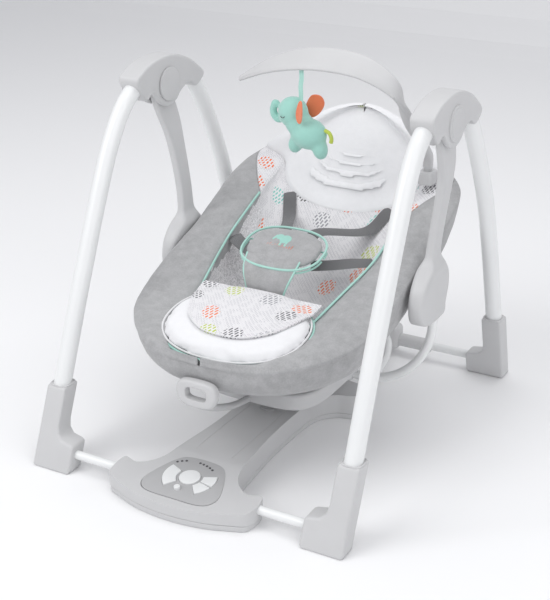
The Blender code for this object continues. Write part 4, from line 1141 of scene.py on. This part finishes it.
def bowl_piping(sizes):
    """Mint piping along both edges of the bowl."""
    for side_name, side in SIDES.items():
        route = []
        for place in np.linspace(PIPING_START, PIPING_END, 40):
            edge = bowl_edge(place)
            route.append((side * (edge[0] - 0.0005), edge[1], edge[2] + 0.0028))
        cord = pipe(f"bowl_piping_{side_name}", route, sizes.piping_radius, roundness=4)
        dressed(cord, "piping", "seat", "mint_plush")


def on_liner(place, across, lift=0.0):
    """A point on the liner, across from -1 to 1, raised off it towards the sitter."""
    edge, keel = bowl_edge(place), along(LINER_KEEL, place)
    point = arch_point(edge, keel, math.pi * (1 - across) / 2)
    middle = np.array([0.0, edge[1] * 0.9 + keel[1] * 0.1, edge[2] * 0.9 + keel[2] * 0.1 + 0.06])
    inward = middle - point
    inward[0] *= 0.5
    return point + inward / np.linalg.norm(inward) * lift


def crowned(name, ring, put, height, power, upper, lower, count=14):
    """A pad with a crowned face and back: put places (a, b, lift), and upper and lower give each side's
    lift at the edge and its share of the crown."""
    shares = np.linspace(0.02, 1.0, count)
    rows = []
    for (start, factor), steps in ((upper, shares), (lower, shares[::-1])):
        for share in steps:
            lift = start + factor * height * (1 - share ** power) ** 0.5
            rows.append([put(a * share, b * share, lift) for a, b in ring + ring[:1]])
    return capped(sheet_of(name, rows, closed=True))


LINER_SHARE = 0.74                 # how much of a row across the seat lies on the liner
BAND_SHARE = 0.6                   # how much of the rest lies on the padded band
OVER_RIM = 1.9                     # angle that the last of it turns over the rim


def on_seat(place, across, lift):
    """A point on the seat's face, from rim to rim: across is 1 just outside the rim."""
    if abs(across) <= LINER_SHARE:
        return on_liner(place, across / LINER_SHARE, lift)
    side = math.copysign(1.0, across)
    share = (abs(across) - LINER_SHARE) / (1 - LINER_SHARE)
    rim, outward, up = rim_frame(place)
    edge = bowl_edge(place)
    band = min(share / BAND_SHARE, 1.0)
    over = max(share - BAND_SHARE, 0.0) / (1 - BAND_SHARE) * OVER_RIM
    point = edge * (1 - band) + (rim + up * 0.0090) * band
    point = point + up * (0.0070 * math.sin(math.pi * band) + lift)
    point = point + outward * math.sin(over) * (0.0055 + lift) - up * (1 - math.cos(over)) * (0.0075 + lift)
    return point * np.array([side, 1.0, 1.0])


HEAD_PAD_FULL, HEAD_PAD_TIP = 9.75, 1.10     # station of its full width, and how far its rounded tip reaches


def head_pad_half(place):
    """How far across the seat the head pad reaches at a station."""
    if place >= HEAD_PAD_FULL:
        return 1.0
    return math.sqrt(max(0.0, 1 - ((HEAD_PAD_FULL - place) / HEAD_PAD_TIP) ** 2))


def head_pads():
    """The white head pad over the top of the back, and the arched pillow on it."""
    tip = HEAD_PAD_FULL - HEAD_PAD_TIP * np.cos(np.linspace(0.06, math.pi / 2, 26))
    rows = []
    for place in np.concatenate([tip, np.linspace(9.83, SEAT_END, 48)]):
        half = head_pad_half(place)
        ring = []
        for across in np.linspace(-1.0, 1.0, 61):
            inside = min(1.0, (1 - abs(across)) / 0.07, (place - tip[0]) / 0.14 + 0.05)
            ring.append(on_seat(place, across * half, 0.0014 + 0.0070 * max(inside, 0.0) ** 0.5))
        ring += [on_seat(place, across * half, 0.0008) for across in np.linspace(0.998, -0.998, 61)]
        rows.append(ring + ring[:1])
    pad = tidy_mesh(capped(sheet_of("head_pad_plush", rows, closed=True)))
    modify(pad, "SMOOTH", factor=0.6, iterations=10)
    ruffled(pad, 0.0016, 0.05)
    smooth(pad, 80.0)
    dressed(pad, "minky", "seat", "white_minky")

    outline = [(u, 8.84 + 0.06 * (u / 0.46) ** 2) for u in np.linspace(-0.46, 0.46, 15)]
    outline += [(0.48 * math.cos(a), 9.00 + 1.72 * math.sin(a))
                for a in np.linspace(0.05, math.pi - 0.05, 33)]
    middle = [sum(values) / len(outline) for values in zip(*outline)]
    pillow = crowned("head_pillow_plush", [(u - middle[0], place - middle[1]) for u, place in outline],
                     lambda a, b, lift: on_liner(middle[1] + b, middle[0] + a, lift),
                     0.0100, 3.0, upper=(0.0210, 1.0), lower=(0.0202, -0.3), count=16)
    swell(pillow, reach=0.006, voxel=0.0045, creases=0.0010)
    dressed(pillow, "minky", "seat", "white_minky", "head_pillow")


LEG_REST_CENTRE = np.array([0.0, -0.187, 0.249])
LEG_REST_SLOPE = math.radians(12.4)


def leg_rest_point(x, forward, lift):
    """A point on the leg rest: x across, forward along its slope, lift off it."""
    c, s = math.cos(LEG_REST_SLOPE), math.sin(LEG_REST_SLOPE)
    return LEG_REST_CENTRE + np.array([x, -forward * c - lift * s, -forward * s + lift * c])


def printed_flap():
    """The printed flap over the upper part of the leg rest, hugging its crown, with a white hem."""
    rows = []
    for share in np.linspace(0.0, 1.0, 26):
        row = []
        for across in np.linspace(-1.0, 1.0, 33):
            x = (0.112 - 0.030 * share ** 2.0) * across
            reach = (-0.088 + 0.140 * share) - 0.040 * share * abs(across) ** 2.5
            radius = min(1.0, ((abs(x) / 0.124) ** 2.23 + (abs(reach) / 0.094) ** 2.23) ** (1 / 2.23))
            row.append(leg_rest_point(x, reach, 0.0045 + 0.0090 * (1 - radius ** 3.5) ** 0.5))
        rows.append(row)
    flap = sheet_of("leg_rest_print", rows, cloth=arc_lengths(rows))
    if flap.data.polygons[0].normal.z < 0:
        flap.data.flip_normals()
    modify(flap, "SOLIDIFY", thickness=0.0030, offset=-1.0)
    smooth(flap, 70.0)
    dressed(flap, "print", "seat", "printed_cotton")
    dressed(pipe("leg_rest_seam", rows[-1], 0.0010, roundness=3), "edging", "seat", "printed_cotton")


def leg_rest(sizes):
    """The oval leg rest with its flap, its piping and its edging."""
    ring = superellipse(0.1275, 0.0970, 2.23, 72)
    pad = crowned("leg_rest_plush", [(1.035 * a, 1.035 * b) for a, b in ring], leg_rest_point, 0.009, 3.5,
                  upper=(-0.006, 1.0), lower=(-0.008, -0.4))
    swell(pad, reach=0.006, voxel=0.0045, creases=0.0012)
    dressed(pad, "minky", "seat", "white_minky", "leg_rest_pad")
    printed_flap()
    for finish, grow, drop, radius in (("piping", 1.010, -0.0070, sizes.piping_radius),
                                       ("edging", 0.985, -0.0030, 0.0017)):
        loop = [leg_rest_point(a * grow, b * grow, drop) for a, b in ring]
        dressed(pipe(f"leg_rest_{finish}", loop, radius, closed=True), finish, "seat", "mint_plush")


LAP_CENTRE = np.array([0.0025, -0.032, 0.328])
LAP_TURN = math.radians(20.0)
LAP_HALF = (0.0715, 0.0510)
# The apron under the lap pad: y, z and half width, from the top down.
APRON = [(-0.062, 0.322, 0.050), (-0.082, 0.302, 0.046), (-0.090, 0.280, 0.038), (-0.091, 0.258, 0.032),
         (-0.087, 0.236, 0.029), (-0.080, 0.216, 0.030)]


def lap_point(a, b, lift):
    """A point on the lap pad: a across, b towards the sitter, lift off its face."""
    c, s = math.cos(LAP_TURN), math.sin(LAP_TURN)
    return LAP_CENTRE + np.array([a, b * c - lift * s, b * s + lift * c])


def lap_pad(sizes):
    """The oval lap pad with its piping, the apron that hangs from it, and its applique."""
    ring = superellipse(LAP_HALF[0], LAP_HALF[1], 2.5, 64)
    pad = crowned("lap_pad_velour", ring, lap_point, 0.0085, 3.2, upper=(0.0, 1.0), lower=(0.0, -1.0))
    swell(pad, reach=0.005, voxel=0.0040, creases=0.0008)
    dressed(pad, "velour", "seat", "grey_velour", "lap_pad")
    loop = [lap_point(a * 1.04, b * 1.05, 0.0) for a, b in ring]
    binding = [lap_point(a * 1.045, b * 1.06, -0.0065) for a, b in ring if b < 0.015]
    cords = [pipe("lap_piping", loop, sizes.piping_radius, closed=True), pipe("lap_binding", binding, 0.0017)]

    rows = []
    for place in np.linspace(0.0, len(APRON) - 1, 30):
        y, z, half = along(APRON, place)
        oval = superellipse(half, 0.0055, 2.6, 40)
        rows.append([(a, y - b, z + 0.2 * b) for a, b in oval + oval[:1]])
    apron = capped(sheet_of("lap_apron_velour", rows, closed=True))
    ruffled(apron, 0.0040, 0.022)
    smooth(apron, 70.0)
    dressed(apron, "velour", "seat", "grey_velour")
    for side in SIDES.values():
        places = [along(APRON, place) for place in np.linspace(0.0, len(APRON) - 1, 24)]
        edge = [(side * half, y - 0.001, z) for y, z, half in places]
        cords.append(pipe("apron_piping", edge, sizes.piping_radius * 0.9))
    dressed(fused("lap_piping", cords), "piping", "seat", "mint_plush")
    lap_applique()


def lap_applique():
    """A small mint animal with stitched grass, sewn on the lap pad's face."""
    outlines = [circle(0.002, 0.008, 0.0105, 32), circle(-0.010, 0.012, 0.0070, 24)]
    outlines += [[(x, 0.002), (x + 0.004, 0.002), (x + 0.004, -0.010), (x, -0.010)] for x in (-0.004, 0.006)]
    outlines.append([(-0.018, 0.016), (-0.013, 0.014), (-0.019, 0.002), (-0.022, 0.004)])
    parts = [slab("applique_part", outline, 0.0, 0.0012, "XY", 0.0004, 2) for outline in outlines]
    animal = fused("lap_applique", parts)
    grass = []
    for number in range(11):
        x, root = -0.024 + 0.0046 * number, -0.0135
        tip = root + 0.0060 + 0.0030 * math.sin(number * 2.1)
        grass.append(pipe("stitch", [(x, root, 0.0006), (x + 0.001, tip, 0.0008)], 0.0005, roundness=1))
    for obj, finish in ((animal, "toy"), (fused("lap_stitches", grass), "coral")):
        for vertex in obj.data.vertices:
            a, b, lift = vertex.co
            share = min(1.0, ((abs(a) / LAP_HALF[0]) ** 2.5 + (abs(b) / LAP_HALF[1]) ** 2.5) ** 0.4)
            vertex.co = lap_point(a, b, lift + 0.0122 * (1 - share ** 3.2) ** 0.5 + 0.0003)
        dressed(obj, finish, "seat", "mint_plush")


def strap(name, route, width, face, thick=0.0019):
    """Flat webbing along a route, its face turned along the given direction."""
    points = curve_through(route, 10)
    turn = Vector(face).normalized()
    section = [(-width / 2, 0), (-width / 4, thick / 2), (width / 4, thick / 2), (width / 2, 0),
               (width / 4, -thick / 2), (-width / 4, -thick / 2), (-width / 2, 0)]
    rows = []
    for index, point in enumerate(points):
        ahead = points[min(index + 1, len(points) - 1)] - points[max(index - 1, 0)]
        across = ahead.cross(turn).normalized()
        normal = across.cross(ahead).normalized()
        rows.append([point + across * a + normal * b for a, b in section])
    return smooth(capped(sheet_of(name, rows, cloth=arc_lengths(rows), closed=True)), 60.0)


def harness(sizes):
    """The shoulder and waist straps, and the buckle where they meet."""
    for side_name, side in SIDES.items():
        shoulder = [on_liner(8.66, side * 0.50, 0.0010), on_liner(8.45, side * 0.48, 0.0060),
                    on_liner(7.7, side * 0.38, 0.0220), (side * 0.034, 0.044, 0.338),
                    (side * 0.024, 0.014, 0.330)]
        waist = [(side * 0.137, 0.040, 0.302), (side * 0.112, 0.012, 0.306), (side * 0.082, -0.008, 0.304),
                 (side * 0.050, -0.024, 0.302)]
        for name, route, tilt in (("shoulder", shoulder, -0.6), ("waist", waist, -0.5)):
            band = strap(f"{name}_webbing_{side_name}", route, sizes.strap_width, (0.0, tilt, 1.0))
            dressed(band, "webbing", "seat", "grey_webbing", f"{name}_strap_{side_name}")
    buckle = slab("harness_buckle_body", superellipse(0.022, 0.020, 5.0, 48), 0.286, 0.300, "XY", 0.0035, 4)
    buckle.data.transform(Matrix.Translation((0, -0.026, 0)))
    dressed(buckle, "panel", "seat", "dark_plastic", "harness_buckle")


def seat_hardware():
    """The tray with its two lugs under the seat, and the front grip on its bar."""
    outline = both_halves([(0, -0.150), (0.080, -0.142), (0.108, -0.100), (0.112, -0.020), (0.108, 0.060),
                           (0.080, 0.094), (0, 0.100)])
    parts = [slab("seat_tray_shell", smoothed(outline, 4), 0.088, 0.118, "XY", 0.0050, 4)]
    for side in SIDES.values():
        lug = slab("lug", superellipse(0.017, 0.014, 4.0, 40), side * 0.085 - 0.010, side * 0.085 + 0.010,
                   "YZ", 0.0020, 3)
        lug.data.transform(Matrix.Translation((0, CARRIER_Y, 0.078)))
        parts.append(lug)
    dressed(fused("seat_tray_shell", parts), "shell", "seat", "light_plastic", "seat_tray")
    outline = both_halves([(0.0, 0.1520), (0.026, 0.1560), (0.036, 0.1720), (0.034, 0.1900), (0.020, 0.1980)])
    plate = slab("front_grip", smoothed(outline, 6), -0.314, -0.298, "XZ", 0.0050, 5)
    oval = [(x, z + 0.1765) for x, z in superellipse(0.0190, 0.0105, 4.0, 48)]
    cut_away(plate, slab("finger_hole", oval, -0.330, -0.280, "XZ"))
    modify(plate, "BEVEL", width=0.0018, segments=3, limit_method="ANGLE", angle_limit=math.radians(60))
    smooth(plate, 40.0)
    bar = pipe("grip_bar", curve_through([(0, -0.3060, 0.1570), (0, -0.2830, 0.1420), (0, -0.2480, 0.1240),
                                          (0, -0.2000, 0.1060), (0, -0.1495, 0.0960)], 8), 0.006, roundness=6)
    dressed(fused("front_grip", [plate, bar]), "shell", "seat", "light_plastic", "front_handle")


# Toy bar and toy ----------------------------------------------------------------------------------------

BAR_FOOT = (0.156, 0.215, 0.405)
BAR_ROUTE = [(0.1570, 0.2120, 0.4300), (0.1625, 0.1950, 0.4550), (0.1645, 0.1550, 0.4900),
             (0.1655, 0.1080, 0.5280), (0.1640, 0.0750, 0.5670), (0.1500, 0.0620, 0.6010),
             (0.1000, 0.0600, 0.6270), (0.0400, 0.0600, 0.6340), (-0.0200, 0.0600, 0.6290),
             (-0.0800, 0.0600, 0.6110), (-0.1340, 0.0600, 0.5830)]
BAR_HALF = [0.0085, 0.0085, 0.0085, 0.0090, 0.0110, 0.0150, 0.0205, 0.0220, 0.0205, 0.0140, 0.0030]


def toy_bar():
    """The leaf-shaped bar on its stem: round where it rises, flat and wide where it arches over."""
    rows, lip = [], []
    last = float(len(BAR_ROUTE) - 1)
    for place in np.linspace(0.0, last, 91):
        point = Vector(along(BAR_ROUTE, place))
        ahead = Vector(along(BAR_ROUTE, min(place + 0.05, last)) - along(BAR_ROUTE, max(place - 0.05, 0.0)))
        ahead.normalize()
        half = float(along([(value,) for value in BAR_HALF], place)[0])
        flat = eased((place - 3.0) / 2.0)
        across = Vector((0.0, -0.72, -0.69)) * flat + Vector((1.0, 0.0, 0.0)) * (1 - flat)
        across = (across - ahead * across.dot(ahead)).normalized()
        normal = ahead.cross(across).normalized()
        thick = 0.0085 * (1 - flat) + 0.0046 * flat
        ring = superellipse(max(half, 0.002), min(thick, half * 1.1), 2.4 + flat * 0.6, 32)
        rows.append([point + across * a + normal * b for a, b in ring + ring[:1]])
        if place > 4.6:
            lip.append(point + across * (half - 0.0012))
    blade = smooth(capped(sheet_of("toy_bar_blade", rows, closed=True)), 60.0)
    stem = pipe("toy_bar_stem", [(*BAR_FOOT[:2], 0.4225), (0.1566, 0.2135, 0.4315)], 0.0080, roundness=6)
    dressed(fused("toy_bar_blade", [blade, stem]), "shell", "toy_bar", "light_plastic", "toy_bar")
    dressed(pipe("toy_bar_lip", lip, 0.0030), "shell", "toy_bar", "light_plastic")
    mount = slab("toy_bar_socket", superellipse(0.014, 0.015, 5.0, 48), -0.009, 0.0165, "XY", 0.0035, 4)
    mount.data.transform(Matrix.Translation(BAR_FOOT))
    dressed(mount, "shell", "seat", "light_plastic", "toy_bar_mount")


TOY_Y = 0.052
EAR = [(-0.024, 0.548), (-0.014, 0.566), (0.000, 0.566), (0.006, 0.552), (0.000, 0.536), (-0.012, 0.528),
       (-0.022, 0.534)]


def on_toy(points):
    """Points of (x, z) on the toy's middle plane."""
    return [(x, TOY_Y, z) for x, z in points]


def ball(name, x, z, radii, turn=0.0):
    """An ellipsoid on the toy's middle plane."""
    obj = primitive("uv_sphere", name, segments=32, ring_count=20, radius=1.0)
    obj.data.transform(Matrix.Translation((x, TOY_Y, z)) @ Matrix.Rotation(turn, 4, "Y")
                       @ Matrix.Diagonal((*radii, 1.0)))
    return obj


def plush_toy():
    """A hanging plush elephant, its trunk turned up."""
    loop = on_toy([(-0.011, 0.6135), (-0.0105, 0.5990), (-0.0120, 0.5850), (-0.0112, 0.5700),
                   (-0.0118, 0.5540)])
    ribbon = strap("toy_ribbon", loop, 0.0085, (0.0, -1.0, 0.0), 0.0014)
    dressed(ribbon, "piping", "toy", "mint_plush", "toy_strap")
    parts = [
        ball("body", 0.004, 0.506, (0.033, 0.024, 0.027)),
        ball("head", -0.026, 0.540, (0.0265, 0.0235, 0.0270)),
        ball("neck", -0.014, 0.522, (0.025, 0.021, 0.022)),
        ball("front_foot", -0.020, 0.487, (0.0125, 0.0145, 0.0180), 0.25),
        ball("hind_foot", 0.026, 0.483, (0.0135, 0.0145, 0.0190), -0.25),
    ]
    trunk = on_toy([(-0.040, 0.532), (-0.053, 0.524), (-0.062, 0.530), (-0.064, 0.543), (-0.060, 0.551)])
    parts.append(pipe("trunk", curve_through(trunk, 8), 0.0068, roundness=6))
    parts.append(ball("trunk_tip", -0.060, 0.551, (0.0080, 0.0075, 0.0075)))
    body = fused("plush_elephant", parts)
    modify(body, "REMESH", mode="VOXEL", voxel_size=0.0022)
    modify(body, "SMOOTH", factor=0.6, iterations=14)
    ruffled(body, 0.0012, 0.012)
    modify(body, "SUBSURF", levels=1, render_levels=1)
    smooth(body, 80.0)
    dressed(body, "toy", "toy", "mint_plush", "plush_toy")
    ears, lashes = [], []
    for side, width in ((-1, 0.55), (1, 1.0)):
        ear = slab("ear", smoothed(EAR, 5), -0.0022, 0.0022, "XZ", 0.0020, 4)
        ear.data.transform(Matrix.Translation((0, TOY_Y + side * 0.0235, 0)))
        for vertex in ear.data.vertices:
            vertex.co.y += side * 0.010 * max(0.0, (vertex.co.x + 0.012) / 0.018) ** 1.5
            vertex.co.x = (vertex.co.x + 0.010) * width
        ears.append(ear)
        arc = [(-0.034 + 0.0035 * math.cos(a), TOY_Y + side * 0.0228, 0.537 + 0.0030 * math.sin(a))
               for a in np.linspace(math.pi, math.tau, 9)]
        lashes.append(pipe("eye", arc, 0.0006, roundness=2))
    dressed(fused("elephant_ears", ears), "coral", "toy", "mint_plush")
    route = curve_through(on_toy([(0.034, 0.516), (0.043, 0.512), (0.047, 0.503), (0.046, 0.496)]), 6)
    dressed(pipe("elephant_tail", route, 0.0034), "lime", "toy", "mint_plush")
    dressed(fused("elephant_eyes", lashes), "mark", "toy", "mint_plush")


# Stage --------------------------------------------------------------------------------------------------

CAMERA_AT = (0.984, -1.827, 1.108)
CAMERA_TURN = (66.84, 0.0, 29.08)
CAMERA_LENS = 77.84
FLOOR_WIDTH, FLOOR_DEPTH, FLOOR_FRONT = 14.0, 9.0, 3.6
BEND_START, BEND_LENGTH, BEND_RADIUS = 3.0, 1.5, 0.95


def plain_finish(name, tint, roughness):
    """A matt finish with a barely uneven tint."""
    finish = Finish(name, roughness)
    cloud = finish.noise(finish.object_place(), 1.2, 2.0)
    finish.feed("Base Color", finish.mixed(cloud, darker(tint, 0.995), tint))
    return finish.material


def light(name, place, aim, size, power):
    """A square area light turned to its aim."""
    deselect()
    bpy.ops.object.light_add(type="AREA", location=place)
    lamp = bpy.context.object
    lamp.name = name
    lamp.data.size = size
    lamp.data.energy = power
    lamp.rotation_euler = (Vector(aim) - Vector(place)).to_track_quat("-Z", "Y").to_euler()
    return lamp


def backdrop():
    """A floor that bends up into a wall behind the swing."""
    floor = primitive("grid", "floor", x_subdivisions=4, y_subdivisions=40, size=1.0)
    for vertex in floor.data.vertices:
        reach = (vertex.co.y + 0.5) * FLOOR_DEPTH - FLOOR_FRONT
        past = max(0.0, reach - BEND_START)
        turn = min(past, BEND_LENGTH) / BEND_LENGTH * math.pi / 2
        wall = max(0.0, past - BEND_LENGTH) * 2.0
        vertex.co = (vertex.co.x * FLOOR_WIDTH, min(reach, BEND_START + math.sin(turn) * BEND_RADIUS),
                     (1 - math.cos(turn)) * BEND_RADIUS + wall)
    floor.data.update()
    floor.data.materials.append(plain_finish("studio_floor", (0.93, 0.93, 0.935), 0.9))


def stage():
    """Floor, lights, world and camera."""
    backdrop()
    aim = (0, 0, 0.3)
    light("key_light", (-1.6, -2.2, 2.6), aim, 2.2, 50.0)
    light("fill_light", (2.4, -1.4, 1.8), aim, 2.6, 26.0)
    light("top_light", (0.2, 0.6, 3.0), aim, 2.4, 26.0)
    scene = bpy.context.scene
    scene.view_settings.view_transform = "Standard"
    scene.world = bpy.data.worlds.new("studio")
    scene.world.use_nodes = True
    sky = scene.world.node_tree.nodes["Background"].inputs
    sky["Color"].default_value = (0.95, 0.96, 1.0, 1.0)
    sky["Strength"].default_value = 0.52
    deselect()
    bpy.ops.object.camera_add(location=CAMERA_AT, rotation=[math.radians(angle) for angle in CAMERA_TURN])
    camera = bpy.context.object
    camera.name = "studio_camera"
    camera.data.lens = CAMERA_LENS
    camera.data.sensor_width = 36.0
    camera.data.clip_end = 60.0
    scene.camera = camera


# Operators ----------------------------------------------------------------------------------------------

HIDDEN_FINISHES = {"battery_door": "shell", "battery_cell_1": "jacket", "battery_cell_2": "jacket",
                   "battery_cell_3": "jacket", "battery_cell_4": "jacket", "circuit_board": "board",
                   "drive_coil": "copper", "drive_magnet_saddle": "shell"}


def prepare(scene):
    """Makes every finish and gives the inner parts theirs."""
    FINISHES.update(all_finishes(scene.swing_colours))
    for node, finish in HIDDEN_FINISHES.items():
        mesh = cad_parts[node].data
        mesh.materials.clear()
        mesh.materials.append(FINISHES[finish])


class SWING_OT_finishes(bpy.types.Operator):
    """Make the materials and finish the inner parts"""

    bl_idname = "swing.finishes"
    bl_label = "Make finishes"

    def execute(self, context):
        prepare(context.scene)
        return {"FINISHED"}


class SWING_OT_frame_tubes(bpy.types.Operator):
    """Build the legs, cross tubes and rails"""

    bl_idname = "swing.frame_tubes"
    bl_label = "Legs and tubes"

    def execute(self, context):
        legs_and_tubes()
        return {"FINISHED"}


class SWING_OT_feet(bpy.types.Operator):
    """Build the four feet"""

    bl_idname = "swing.feet"
    bl_label = "Feet"

    def execute(self, context):
        feet()
        return {"FINISHED"}


class SWING_OT_hubs(bpy.types.Operator):
    """Build both hubs and their caps"""

    bl_idname = "swing.hubs"
    bl_label = "Hubs"

    def execute(self, context):
        hubs()
        return {"FINISHED"}


class SWING_OT_base(bpy.types.Operator):
    """Build the front base and the rear housing"""

    bl_idname = "swing.base"
    bl_label = "Base housing"

    def execute(self, context):
        base_housing()
        return {"FINISHED"}


class SWING_OT_controls(bpy.types.Operator):
    """Build the panel and its buttons"""

    bl_idname = "swing.controls"
    bl_label = "Control panel"

    def execute(self, context):
        control_panel()
        return {"FINISHED"}


class SWING_OT_arms(bpy.types.Operator):
    """Build both arms"""

    bl_idname = "swing.arms"
    bl_label = "Swing arms"

    def execute(self, context):
        swing_arms()
        return {"FINISHED"}


class SWING_OT_carrier(bpy.types.Operator):
    """Build the bent tube under the seat"""

    bl_idname = "swing.carrier"
    bl_label = "Carrier hoop"

    def execute(self, context):
        carrier()
        return {"FINISHED"}


class SWING_OT_seat_cover(bpy.types.Operator):
    """Build the velour cover"""

    bl_idname = "swing.seat_cover"
    bl_label = "Seat cover"

    def execute(self, context):
        seat_cover(context.scene.swing_sizes)
        return {"FINISHED"}


class SWING_OT_seat_liner(bpy.types.Operator):
    """Build the printed liner and its seams"""

    bl_idname = "swing.seat_liner"
    bl_label = "Seat liner"

    def execute(self, context):
        seat_liner(context.scene.swing_sizes)
        return {"FINISHED"}


class SWING_OT_piping(bpy.types.Operator):
    """Build the piping along the bowl"""

    bl_idname = "swing.piping"
    bl_label = "Bowl piping"

    def execute(self, context):
        bowl_piping(context.scene.swing_sizes)
        return {"FINISHED"}


class SWING_OT_head_pads(bpy.types.Operator):
    """Build the head pad and the pillow"""

    bl_idname = "swing.head_pads"
    bl_label = "Head pads"

    def execute(self, context):
        head_pads()
        return {"FINISHED"}


class SWING_OT_leg_rest(bpy.types.Operator):
    """Build the leg rest and its flap"""

    bl_idname = "swing.leg_rest"
    bl_label = "Leg rest"

    def execute(self, context):
        leg_rest(context.scene.swing_sizes)
        return {"FINISHED"}


class SWING_OT_lap_pad(bpy.types.Operator):
    """Build the lap pad and its apron"""

    bl_idname = "swing.lap_pad"
    bl_label = "Lap pad"

    def execute(self, context):
        lap_pad(context.scene.swing_sizes)
        return {"FINISHED"}


class SWING_OT_harness(bpy.types.Operator):
    """Build the straps and the buckle"""

    bl_idname = "swing.harness"
    bl_label = "Harness"

    def execute(self, context):
        harness(context.scene.swing_sizes)
        return {"FINISHED"}


class SWING_OT_seat_hardware(bpy.types.Operator):
    """Build the tray and the front grip"""

    bl_idname = "swing.seat_hardware"
    bl_label = "Seat tray and grip"

    def execute(self, context):
        seat_hardware()
        return {"FINISHED"}


class SWING_OT_toy_bar(bpy.types.Operator):
    """Build the toy bar and its socket"""

    bl_idname = "swing.toy_bar"
    bl_label = "Toy bar"

    def execute(self, context):
        toy_bar()
        return {"FINISHED"}


class SWING_OT_plush_toy(bpy.types.Operator):
    """Build the hanging elephant"""

    bl_idname = "swing.plush_toy"
    bl_label = "Plush toy"

    def execute(self, context):
        plush_toy()
        return {"FINISHED"}


class SWING_OT_stage(bpy.types.Operator):
    """Build the floor, the lights and the camera"""

    bl_idname = "swing.stage"
    bl_label = "Stage"

    def execute(self, context):
        stage()
        return {"FINISHED"}


OPERATORS = [
    SWING_OT_finishes, SWING_OT_frame_tubes, SWING_OT_feet, SWING_OT_hubs, SWING_OT_base,
    SWING_OT_controls, SWING_OT_arms, SWING_OT_carrier, SWING_OT_seat_cover, SWING_OT_seat_liner,
    SWING_OT_piping, SWING_OT_head_pads, SWING_OT_leg_rest, SWING_OT_lap_pad, SWING_OT_harness,
    SWING_OT_seat_hardware, SWING_OT_toy_bar, SWING_OT_plush_toy, SWING_OT_stage,
]


class SWING_PT_pieces(bpy.types.Panel):
    """Lists the swing's pieces."""

    bl_idname = "SWING_PT_pieces"
    bl_label = "Baby Swing"
    bl_space_type = "VIEW_3D"
    bl_region_type = "UI"
    bl_category = "Baby Swing"

    def draw(self, context):
        for made in OPERATORS:
            self.layout.operator(made.bl_idname)


CLASSES = [SwingColours, SwingSizes, *OPERATORS, SWING_PT_pieces]


def register():
    for cls in CLASSES:
        bpy.utils.register_class(cls)
    bpy.types.Scene.swing_colours = bpy.props.PointerProperty(type=SwingColours)
    bpy.types.Scene.swing_sizes = bpy.props.PointerProperty(type=SwingSizes)


def unregister():
    del bpy.types.Scene.swing_sizes
    del bpy.types.Scene.swing_colours
    for cls in reversed(CLASSES):
        bpy.utils.unregister_class(cls)


def main():
    """Builds every piece in order."""
    register()
    for made in OPERATORS:
        group, name = made.bl_idname.split(".")
        getattr(getattr(bpy.ops, group), name)()


if __name__ == "__main__":
    main()
